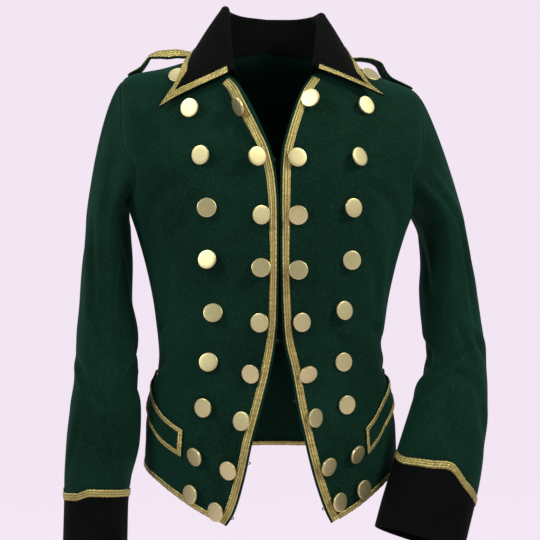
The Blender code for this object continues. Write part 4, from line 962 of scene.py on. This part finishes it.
collarCut = {
    right: (  # share, crease x, y, z, edge x, y, z
        (0.0, 0.059, -0.087, -0.040, 0.154, -0.094, -0.090),
        (0.2, 0.064, -0.056, 0.014, 0.129, -0.072, -0.057),
        (0.4, 0.065, -0.018, 0.057, 0.108, -0.018, -0.004), (0.6, 0.061, 0.021, 0.061, 0.091, 0.036, 0.009),
        (0.8, 0.038, 0.054, 0.060, 0.054, 0.072, 0.007), (1.0, 0.000, 0.067, 0.059, 0.000, 0.085, 0.006)),
    left: (
        (0.0, 0.051, -0.081, -0.032, 0.140, -0.096, -0.071),
        (0.2, 0.061, -0.054, 0.013, 0.117, -0.072, -0.045),
        (0.4, 0.069, -0.017, 0.051, 0.100, -0.018, 0.003), (0.6, 0.065, 0.021, 0.055, 0.089, 0.036, 0.012),
        (0.8, 0.039, 0.054, 0.057, 0.054, 0.072, 0.009), (1.0, 0.000, 0.067, 0.059, 0.000, 0.085, 0.006)),
    "rollShares": (0.0, 0.05, 0.2, 0.3, 0.4, 0.5, 0.6, 0.7, 0.8, 0.9, 1.0),
    "edgeShares": (0.0, 0.09, 0.2, 0.3, 0.4, 0.5, 0.6, 0.7, 0.8, 0.9, 1.0),
    "spring": 0.006, "fold": 0.0040, "foldTaper": 0.0018, "taperFrom": 0.65, "belly": 0.0012,
    "fallClear": 0.0070, "foldClear": 0.0015, "clearBy": 0.35, "soft": 0.0012,
    "laceInset": 0.0004, "endLace": (0.0088, 0.0060), "fallLace": 0.0064,
    "standRows": 14, "foldRows": 10, "fallRows": 26, "clearedRows": 4, "endColumns": 6,
}


def neckLine():
    parts = []
    for side in (right, left):
        (frontPoints, frontNormals), (backPoints, backNormals) = faces["front", side], faces["back", side]
        pairs = ((frontPoints, backPoints, 0), (frontNormals, backNormals, 0), (frontPoints, backPoints, 1))
        parts.append([np.concatenate((front[edgeRow:, column], back[-2:edgeRow - 1:-1, column]))
                      for front, back, column in pairs])
    line, normals, inside = [np.concatenate((a, b[-2::-1])) for a, b in zip(*parts)]
    return line, normals, seamDirection(line, normals, inside)


def collarLine(shares, first):
    shares = refine(np.array(shares), fineness)
    halves = [readTable(collarCut[side])(shares)[:, first:first + 3] * (side, 1, 1) for side in (right, left)]
    return np.concatenate((halves[0], halves[1][-2::-1]))


def clearOfCloth(points, clearance):
    base = settle(points)
    normal = unit(bodySlope(base))
    distance = ((points - wornPoints(base)) * normal).sum(axis=-1)
    soft = collarCut["soft"]
    short = soft * np.logaddexp(0, (clearance - distance) / soft)
    return points + normal * short[..., None]


def collarGrid():
    line, seamNormals, away = neckLine()
    start = line + away * cloth["seamGap"] / 2 - seamNormals * cloth["seamDip"]
    roll, edge = collarLine(collarCut["rollShares"], 0), collarLine(collarCut["edgeShares"], 3)
    falling, rising = unit(edge - roll), unit(roll - start)
    outward = unit(falling - rising * (falling * rising).sum(axis=-1, keepdims=True))
    share = np.abs(even(-1, 1, len(line) - 1))[:, None]
    fold = collarCut["fold"] - collarCut["foldTaper"] * smoothStep(collarCut["taperFrom"], 1.0, share)
    pull = collarCut["spring"]
    standTop = roll - outward * fold
    rows = [hermite(start, away * pull, standTop, rising * pull, t)
            for t in even(0, 1, collarCut["standRows"])]
    for swing in np.radians(even(0, 180, collarCut["foldRows"])[1:]):
        rows.append(roll + fold * (math.sin(swing) * rising - math.cos(swing) * outward))
    fallTop = rows[-1]
    crown = len(rows) - 1
    facing = unit(np.cross(np.gradient(edge, axis=0), edge - fallTop))
    facing *= np.sign((facing * seamNormals).sum())
    for share in even(0, 1, collarCut["fallRows"])[1:]:
        bulge = facing * (collarCut["belly"] * math.sin(math.pi * share))
        rows.append(fallTop + (edge - fallTop) * share + bulge)
    for row in range(crown - collarCut["clearedRows"], len(rows)):
        t = smoothStep(0, collarCut["clearBy"], (row - crown) / (len(rows) - 1 - crown))
        clearance = collarCut["foldClear"] + (collarCut["fallClear"] - collarCut["foldClear"]) * t
        rows[row] = clearOfCloth(rows[row], clearance)
    under = np.array(rows)
    normals = gridNormals(under)
    normals *= np.sign((normals[-1] * seamNormals).sum())
    return under + normals * cloth["velvet"], normals, crown


def makeCollar():
    outer, normals, crown = collarGrid()
    piece = shell("cloth_collar", outer, normals, cloth["velvet"], velvet, rounded=(0, 1, 1, 1))
    fall, facing = outer[crown:], normals[crown:]
    runs, length = arcLength(fall, 1), arcLength(fall, 0)[-1]
    rowCount, columnCount = fall.shape[0] - 1, fall.shape[1] - 1
    columns = np.arange(columnCount + 1)
    slant = np.linalg.norm(np.cross(unit(np.gradient(fall[-1], axis=0)), unit(fall[-1] - fall[0])), axis=1)
    inset, widths, width = collarCut["laceInset"], collarCut["endLace"], collarCut["fallLace"]
    strip = even(0, 1, lace["strips"])
    low, ups = [], []

    def endSlant(end, row):  # how squarely a row meets the front end
        near = collarCut["endColumns"]
        edge, inward = (0, near) if end == 0 else (-1, -1 - near)
        endWay = unit(fall[-1, edge] - fall[0, edge])
        crossing = np.linalg.norm(np.cross(unit(fall[:, inward] - fall[:, edge]), endWay), axis=1)
        return np.interp(row, np.arange(rowCount + 1), crossing)

    def band(end, outerIn, outerRow, innerIn, innerRow):  # one row of lace on the cloth's own face
        row = outerRow + (innerRow - outerRow) * strip
        inRow = outerIn + (innerIn - outerIn) * strip
        along = np.tile(columns, len(row)).astype(float)
        run = sampleGrid(runs[..., None], np.repeat(row, len(columns)), along).reshape(len(row), -1)
        column = np.array([np.interp(d if end == 0 else r[-1] - d, r, columns) for d, r in zip(inRow, run)])
        low.append(sampleGrid(fall, row, column))
        ups.append(unit(sampleGrid(facing, row, column)))

    def lowRows(side, total):
        return rowCount * (1 - inset / side / total), rowCount * (1 - (inset + width) / side / total)

    def insets(end, outerRow, innerRow):  # where the end's lace starts and stops on two rows
        return inset / endSlant(end, outerRow), (inset + widths[end]) / endSlant(end, innerRow)

    def endBand(end):
        outerLast, innerLast = lowRows(slant[-end], length[-end])
        order = even(0, 1, int(length[-end] / lace["step"]))
        for t in (order if end == 0 else order[::-1]):
            outerRow, innerRow = 1 + (outerLast - 1) * t, 1 + (innerLast - 1) * t
            outerIn, innerIn = insets(end, outerRow, innerRow)
            band(end, outerIn, outerRow, innerIn, innerRow)

    endBand(0)
    full = runs[-1, -1]
    for t in even(0, 1, int(full / lace["step"]))[1:-1]:
        column = np.interp(full * t, runs[-1], columns)
        outerRow, innerRow = lowRows(np.interp(column, columns, slant), np.interp(column, columns, length))
        innerFull = sampleGrid(runs, np.array([innerRow]), np.array([float(columnCount)]))[0]
        first, last = insets(0, outerRow, innerRow), insets(1, outerRow, innerRow)
        ins = [a + (total - a - b) * t for a, b, total in zip(first, last, (full, innerFull))]
        band(0, ins[0], outerRow, ins[1], innerRow)
    endBand(1)
    return piece, outer, layLace("collar_lace_braid", "collar_lace", np.array(low), np.array(ups), crinkled)


collar = makeCollar()
print("collar made")


# shoulder straps

strapCut = {
    right: (  # share, out, rise, roll, droop of the front border
        (0.00, 0.101, 0.0018, 3, 5), (0.13, 0.114, 0.0115, 5, 40), (0.38, 0.135, 0.0215, 8, 72),
        (0.60, 0.156, 0.0255, 8, 60), (0.73, 0.167, 0.0225, 6, 25), (0.82, 0.173, 0.0140, 4, 6),
        (0.90, 0.181, 0.0055, 2, 2), (1.00, 0.197, 0.0004, 0, 0)),
    left: (
        (0.00, 0.098, 0.0012, 2, 2), (0.13, 0.110, 0.0065, 4, 4), (0.34, 0.128, 0.0150, 6, 8),
        (0.52, 0.144, 0.0215, 6, 10), (0.62, 0.152, 0.0205, 4, 6), (0.72, 0.159, 0.0120, 2, 2),
        (0.84, 0.170, 0.0040, 0, 0), (1.00, 0.197, 0.0010, 0, 0)),
    "width": 0.038, "y": 0.004, "lift": 0.0003, "bend": -0.007, "soft": 0.003,
    "laceInsets": (0.0022, 0.0012, 0.0006), "laceWidths": (0.0095, 0.0070, 0.0070), "laceStop": 0.0012,
    "cells": (90, 30), "wave": 0.0006, "wavePitch": 23, "ridge": -0.045, "ridgeRows": 120,
}


def shoulderHeight(side, out):
    ridge = np.zeros((strapCut["ridgeRows"], 3))
    ridge[:, 2] = np.linspace(0, strapCut["ridge"], len(ridge))
    ridge[:, 0] = side * bodySection(ridge[:, 2])[:, 0]
    shaped = wornPoints(ridge)
    return np.interp(out, side * shaped[:, 0], shaped[:, 2])


def strapPoints(side, shares, stations):  # under the strap: along by rows, across by columns
    out, rise, roll, droop = np.moveaxis(readTable(strapCut[side])(shares)[:, None], -1, 0)
    bend, soft = strapCut["bend"], strapCut["soft"]
    tilt = np.radians(roll + (droop - roll) * (1 - smoothStep(bend - soft, bend + soft, stations)))
    step = stations[1] - stations[0]
    y, z = [np.cumsum(part(tilt) * step, axis=1) for part in (np.cos, np.sin)]
    y += stations[-1] * np.cos(tilt[:, -1:]) - y[:, -1:]
    z += stations[-1] * np.sin(tilt[:, -1:]) - z[:, -1:]
    wave = strapCut["wave"] * np.sin(shares[:, None] * strapCut["wavePitch"])
    wave = wave * (stations / (strapCut["width"] / 2)) ** 2
    height = shoulderHeight(side, out) + rise + strapCut["lift"]
    return np.stack((side * out + 0 * y, strapCut["y"] + y, height + z + wave), -1)


def frameBand(length, height, make):
    # three sides of a rectangle, mitred: along the low side, across the near end, along the high side
    strip = even(0, 1, 9)[:, None]
    end = length - make["laceStop"]
    corners = []
    for grow in (0, 1):
        low, near, high = [inset + grow * width for inset, width in zip(make["laceInsets"], make["laceWidths"])]
        corners.append(np.array([(end, low), (near, low), (near, height - high), (end, height - high)]))
    outer, inner = corners
    rows = []
    for k in range(3):
        out, outWay, into, inWay = outer[k], outer[k + 1] - outer[k], inner[k], inner[k + 1] - inner[k]
        count = max(4, int(np.linalg.norm(outWay) / lace["step"]))
        for t in even(0, 1, count)[(1 if k else 0):]:
            rows.append((out + outWay * t) * (1 - strip) + (into + inWay * t) * strip)
    return np.array(rows)


def layFrame(kind, side, make, outer, normals, height):  # lace round three sides of a laid piece
    length = arcLength(outer, 0)[-1].mean()
    band = frameBand(length, height, make)
    along, across = band[..., 0] / length * make["cells"][0], band[..., 1] / height * make["cells"][1]
    low, ups = sampleGrid(outer, along, across), unit(sampleGrid(normals, along, across))
    name = sideNames[side]
    return layLace(f"{kind}_lace_braid_{name}", f"{kind}_lace_{name}", low, ups, crinkled)


def makeStrap(side):
    width, (rows, columns) = strapCut["width"], strapCut["cells"]
    under = strapPoints(side, even(0, 1, rows), even(-width / 2, width / 2, columns))
    normals = gridNormals(under)
    normals *= np.sign(normals[0, 0, 2])
    outer = under + normals * cloth["strap"]
    piece = shell("cloth_strap_" + sideNames[side], outer, normals, cloth["strap"], wool)
    return piece, outer, layFrame("strap", side, strapCut, outer, normals, width)


straps = {side: makeStrap(side) for side in (right, left)}
print("straps made")


# pocket flaps

flapCut = {
    "outline": (  # share, upper, lower, right angle, left angle
        (0.00, -0.511, -0.546, 56, 54), (0.25, -0.497, -0.532, 66, 60), (0.50, -0.480, -0.512, 76, 67),
        (0.75, -0.462, -0.494, 86, 77), (1.00, -0.442, -0.474, 97, 94)),
    "gap": 0.0009, "laceInsets": (0.0004, 0.0004, 0.0004), "laceWidths": (0.0052, 0.0068, 0.0052),
    "laceStop": 0.0, "cells": (100, 34), "wave": 0.0005, "wavePitch": 9,
}


def makeFlap(side):
    share, drop = np.meshgrid(*[even(0, 1, cells) for cells in flapCut["cells"]], indexing="ij")
    upper, lower, *angles = np.moveaxis(readTable(flapCut["outline"])(share), -1, 0)
    points, normals = worn(onBody(side * angles[sideColumn[side]], upper * (1 - drop) + lower * drop))
    edge = np.minimum(drop, 1 - drop)
    wave = flapCut["wave"] * np.sin(share * flapCut["wavePitch"]) * (1 - edge)
    outer = points + normals * (flapCut["gap"] + cloth["flap"] + wave)[..., None]
    name = "cloth_pocket_flap_" + sideNames[side]
    piece = shell(name, outer, normals, cloth["flap"], wool, rounded=(1, 0.2, 1, 1))
    height = arcLength(outer, 1)[:, -1].mean()
    return piece, outer, layFrame("pocket", side, flapCut, outer, normals, height)


flaps = {side: makeFlap(side) for side in (right, left)}
print("pocket flaps made")


# buttons: one is modelled, the rest are its copies, each on the cloth with its own tilt

buttonMake = {
    "radius": 0.0125, "thick": 0.0026, "shank": 0.0016,
    "outer": (  # right out, right height, left out, left height
        (0.130, -0.046, 0.130, -0.035), (0.114, -0.093, 0.117, -0.083), (0.100, -0.154, 0.104, -0.154),
        (0.093, -0.221, 0.096, -0.220), (0.091, -0.287, 0.096, -0.288), (0.083, -0.357, 0.087, -0.354),
        (0.089, -0.422, 0.088, -0.423), (0.096, -0.481, 0.091, -0.479), (0.106, -0.544, 0.103, -0.544),
        (0.112, -0.593, 0.113, -0.591)),
    "inner": (
        (0.048, -0.094, 0.043, -0.079), (0.029, -0.156, 0.023, -0.156), (0.0224, -0.230, 0.024, -0.230),
        (0.0232, -0.298, 0.025, -0.301), (0.0237, -0.369, 0.030, -0.369), (0.035, -0.436, 0.038, -0.437),
        (0.047, -0.497, 0.047, -0.494), (0.064, -0.560, 0.064, -0.557), (0.0796, -0.613, 0.0786, -0.604)),
    "seen": {  # how wide the disc looks for its height, and which way it leans in the picture
        "right_inner_01": (0.42, 205), "right_inner_02": (0.83, 10), "right_inner_03": (0.85, 180),
        "right_inner_04": (0.97, 90), "right_inner_05": (0.93, 180), "right_inner_06": (0.72, 200),
        "right_inner_07": (0.74, 170), "right_inner_08": (0.66, 200), "right_inner_09": (0.72, 182),
        "right_outer_02": (0.92, 170), "right_outer_03": (0.90, 180),
        "right_outer_04": (0.99, 60), "right_outer_05": (0.93, 150), "right_outer_06": (0.95, 100),
        "right_outer_07": (0.95, 120), "right_outer_08": (0.87, 180), "right_outer_09": (0.66, 200),
        "right_outer_10": (0.73, 180), "left_inner_01": (0.70, 180), "left_inner_02": (0.95, 30),
        "left_inner_03": (0.98, 270), "left_inner_04": (0.99, 60), "left_inner_05": (0.89, 0),
        "left_inner_06": (0.83, 310), "left_inner_07": (0.62, 0), "left_inner_08": (0.72, 340),
        "left_inner_09": (0.69, 0), "left_outer_01": (0.62, 60), "left_outer_02": (0.78, 25),
        "left_outer_03": (0.74, 20), "left_outer_04": (0.88, 5), "left_outer_05": (0.95, 0),
        "left_outer_06": (0.85, 10), "left_outer_07": (0.89, 0), "left_outer_08": (0.87, 355),
        "left_outer_09": (0.64, 340), "left_outer_10": (0.72, 0)},
    "viewTurn": 5, "steepest": 30, "sink": 0.0022, "sinkShare": 0.35, "clear": 0.0003,
    "cast": 0.02, "feltAt": (0.5, 1.0), "feltEvery": 15, "sides": 64, "upright": 0.9,
    "front": ((0.0007, 0.0004), (0.0035, 0.00008), (0.0040, 0.00005)),  # insets and how far each rises
    "backInsets": (0.0060, 0.0035), "backRise": 0.0006, "bevel": 0.0003, "bevelFrom": 25, "smoothTo": 30,
}


def deselectAll():
    bpy.ops.object.select_all(action="DESELECT")


def selectFaces(piece, direction):  # those that look up (1) or down (-1)
    bpy.ops.object.mode_set(mode="OBJECT")
    for face in piece.data.polygons:
        face.select = face.normal.z * direction > buttonMake["upright"]
    bpy.ops.object.mode_set(mode="EDIT")


def modelButton():
    make = buttonMake
    deselectAll()
    bpy.ops.mesh.primitive_cylinder_add(vertices=make["sides"], radius=make["radius"], depth=make["thick"])
    button = bpy.context.object
    button.name = "buttonMaster"
    bpy.ops.object.mode_set(mode="EDIT")
    bpy.ops.mesh.select_mode(type="FACE")
    bpy.ops.mesh.select_all(action="DESELECT")
    selectFaces(button, 1)
    for inset, rise in make["front"]:  # the light bevelled rim, then the slightly domed face
        bpy.ops.mesh.inset(thickness=inset)
        bpy.ops.transform.translate(value=(0, 0, rise))
    selectFaces(button, -1)
    bpy.ops.mesh.inset(thickness=make["backInsets"][0])
    bpy.ops.transform.translate(value=(0, 0, -make["backRise"]))
    bpy.ops.mesh.inset(thickness=make["backInsets"][1])
    bpy.ops.mesh.extrude_region_move(TRANSFORM_OT_translate={"value": (0, 0, -make["shank"])})
    bpy.ops.object.mode_set(mode="OBJECT")
    bevel = button.modifiers.new("rimBevel", "BEVEL")
    bevel.width, bevel.segments, bevel.limit_method = make["bevel"], 2, "ANGLE"
    bevel.angle_limit = math.radians(make["bevelFrom"])
    bpy.ops.object.modifier_apply(modifier=bevel.name)
    bpy.ops.object.shade_smooth_by_angle(angle=math.radians(make["smoothTo"]))
    button.data.materials.append(paleBrass)
    return button


def clothTree(side):
    vertices, polygons = [], []
    for piece in (panels["front", side][0], *edgeLaces[side]):
        first = len(vertices)
        vertices += [v.co.copy() for v in piece.data.vertices]
        polygons += [[first + i for i in p.vertices] for p in piece.data.polygons]
    return BVHTree.FromPolygons(vertices, polygons)


def seatButton(tree, side, out, height, seen):
    make = buttonMake
    points, normals = worn(onFront(np.array(side * out), np.array(height))[None, :])
    point, normal, up = Vector(points[0]), Vector(normals[0]), Vector((0, 0, 1))
    aside = up.cross(normal).normalized()
    upward = normal.cross(aside)
    facing = normal

    def cast(place):  # where the cloth or lace lies over or under a place
        return tree.ray_cast(place + normal * make["cast"], -normal, 2 * make["cast"])[0]

    if seen:
        ratio, lean, turn = seen[0], math.radians(seen[1]), math.radians(make["viewTurn"])
        view, across = [Vector((x, y, 0)) for x, y in ((-math.sin(turn), -math.cos(turn)),
                                                       (math.cos(turn), -math.sin(turn)))]
        leaning = across * math.cos(lean) + up * math.sin(lean)
        wanted = view * ratio + leaning * math.sqrt(1 - ratio ** 2)
        apart = math.degrees(normal.angle(wanted))
        facing = normal.slerp(wanted, min(1.0, make["steepest"] / max(apart, 1e-3))).normalized()
    middle = cast(point) or point
    lift = 0.0
    for reach in make["feltAt"]:
        for step in np.radians(np.arange(0, 360, make["feltEvery"])):
            place = middle + make["radius"] * reach * (math.cos(step) * aside + math.sin(step) * upward)
            place -= normal * ((place - middle).dot(facing) / facing.dot(normal))
            found = cast(place)
            if found:
                lift = max(lift, (found - place).dot(normal))
    tip = math.sin(facing.angle(normal)) * make["radius"]
    sink = min(make["sink"], make["sinkShare"] * tip)  # the cloth gives a little under a tipped rim
    return middle + normal * (lift - sink) + facing * (make["thick"] / 2 + make["clear"]), facing


def makeButtons():
    master = modelButton()
    trees = {side: clothTree(side) for side in (right, left)}
    random = np.random.default_rng(11)
    for rowName in ("outer", "inner"):
        for number, row in enumerate(buttonMake[rowName], start=1):
            for side, out, height in ((right, *row[:2]), (left, *row[2:])):
                key = f"{sideNames[side]}_{rowName}_{number:02d}"
                place, facing = seatButton(trees[side], side, out, height, buttonMake["seen"].get(key))
                copy = addObject("brass_button_" + key, master.data.copy())
                spin = Matrix.Rotation(random.uniform(0, 2 * math.pi), 4, "Z")
                copy.data.transform(standing(place, facing) @ spin)
                trim(copy, "button_" + key)
    bpy.data.objects.remove(master)


makeButtons()
print("buttons made")


# small hooks and eyes at the front edges

hookMake = {"wire": 0.0005, "loop": 0.0016, "proud": 0.0008, "sunk": 0.0010, "stretch": (1.5, 1.0, 1.0),
            "places": ((right, -0.159), (right, -0.393), (right, -0.551), (right, -0.622), (left, -0.472),
                       (left, -0.612))}


def makeHook(number, side, height):
    make = hookMake
    edge = frontEdges(height)[sideColumn[side]]
    points, normals = worn(onFront(np.array(side * edge), np.array(height))[None, :])
    deselectAll()
    bpy.ops.mesh.primitive_torus_add(major_radius=make["loop"], minor_radius=make["wire"], major_segments=20,
                                     minor_segments=8)
    hook = bpy.context.object
    hook.name = f"hook_{number}"
    bpy.ops.object.mode_set(mode="EDIT")
    bpy.ops.mesh.select_all(action="SELECT")
    bpy.ops.transform.resize(value=make["stretch"])
    bpy.ops.object.mode_set(mode="OBJECT")
    hook.data.materials.append(blackWire)
    bpy.ops.object.shade_smooth()
    facing = Vector(normals[0])
    place = Vector(points[0]) - facing * make["sunk"] + Vector((-side, 0, 0)) * make["proud"]
    hook.data.transform(standing(place, facing))
    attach(hook, "root")


for number, (side, height) in enumerate(hookMake["places"], start=1):
    makeHook(number, side, height)
print("hooks made")


# each sheet of cloth hangs on the root and hides its part of the frame; its flat size is worked out but not kept

for side in (right, left):
    name = sideNames[side]
    for part in ("front", "back"):
        piece, nodeName, outer = panels[part, side]
        declare(piece, nodeName, outer)
    piece, outer = sleeves[side]
    declare(piece, "sleeve_" + name, outer, ring=True)
    piece, outer, braid = cuffs[side]
    declare(piece, "cuff_" + name, outer, ring=True)
    for kind, (piece, outer, braid) in (("strap_", straps[side]), ("pocket_flap_", flaps[side])):
        declare(piece, kind + name, outer)
piece, outer, braid = collar
declare(piece, "collar", outer)


# stage, light and camera

stageMake = {"pale": (0.100, 0.088, 0.100, 1), "glow": (0.812, 0.717, 0.812, 1), "floor": -0.86, "back": 2.6,
             "bend": 0.9, "front": -4.0, "wide": 5.0, "high": 3.4, "steps": 16}
lightMake = (  # name, place, target, size, power, colour
    ("keyLight", (1.8, -1.3, 1.4), (0, 0, -0.3), 0.8, 50, (1.0, 0.98, 0.94)),
    ("fillLight", (-1.9, -1.1, 1.0), (0, 0, -0.3), 0.9, 36, (0.97, 0.98, 1.0)),
    ("topLight", (0.0, 0.2, 2.0), (0, 0, -0.2), 1.2, 13, (1.0, 1.0, 1.0)),
)
roomMake = {"Color": (0.90, 0.92, 0.97, 1), "Strength": 0.27}
cameraMake = {"turn": 5, "away": 1.5, "aside": -0.0014, "height": -0.301, "sensor": 36.0, "focal": 1071.0,
              "frame": 540.0}  # focal length and frame in pixels


def makeStage():
    make = stageMake
    floor, bend, foot = make["floor"], make["bend"], make["back"] - make["bend"]
    bends = [(make["front"], floor), (foot, floor)]
    for turn in np.radians(even(0, 90, make["steps"])[1:]):
        bends.append((foot + bend * math.sin(turn), floor + bend * (1 - math.cos(turn))))
    bends.append((make["back"], make["high"]))
    vertices = [(x, y, z) for y, z in bends for x in (-make["wide"], make["wide"])]
    quads = [(2 * k, 2 * k + 1, 2 * k + 3, 2 * k + 2) for k in range(len(bends) - 1)]
    mesh = bpy.data.meshes.new("stageSweep")
    mesh.from_pydata(vertices, [], quads)
    mesh.shade_smooth()
    sweep = addObject("stageSweep", mesh)
    material, tree, shader = newMaterial("paleBackdrop", 0.9, specular=0.0)
    shader.inputs["Base Color"].default_value = make["pale"]
    shader.inputs["Emission Color"].default_value = make["glow"]
    shader.inputs["Emission Strength"].default_value = 1.0
    mesh.materials.append(material)


def makeLights():
    for name, place, target, size, power, colour in lightMake:
        data = bpy.data.lights.new(name, "AREA")
        data.shape, data.size, data.energy, data.color = "DISK", size, power, colour
        addObject(name, data).matrix_world = standing(Vector(place), Vector(target) - Vector(place), "-Z")
    world = bpy.data.worlds.new("softRoom")
    bpy.context.scene.world = world
    world.use_nodes = True
    for key, value in roomMake.items():
        world.node_tree.nodes["Background"].inputs[key].default_value = value


def makeCamera():
    make = cameraMake
    data = bpy.data.cameras.new("camera")
    data.sensor_width = make["sensor"]
    data.lens = data.sensor_width * make["focal"] / make["frame"]
    camera = addObject("camera", data)
    turn = math.radians(make["turn"])
    ahead = Vector((math.sin(turn), math.cos(turn), 0))
    camera.matrix_world = standing(Vector((make["aside"], 0, make["height"])) - ahead * make["away"], ahead, "-Z")
    bpy.context.scene.camera = camera


makeStage()
makeLights()
makeCamera()
bpy.context.scene.view_settings.view_transform = "Standard"
print("stage made")
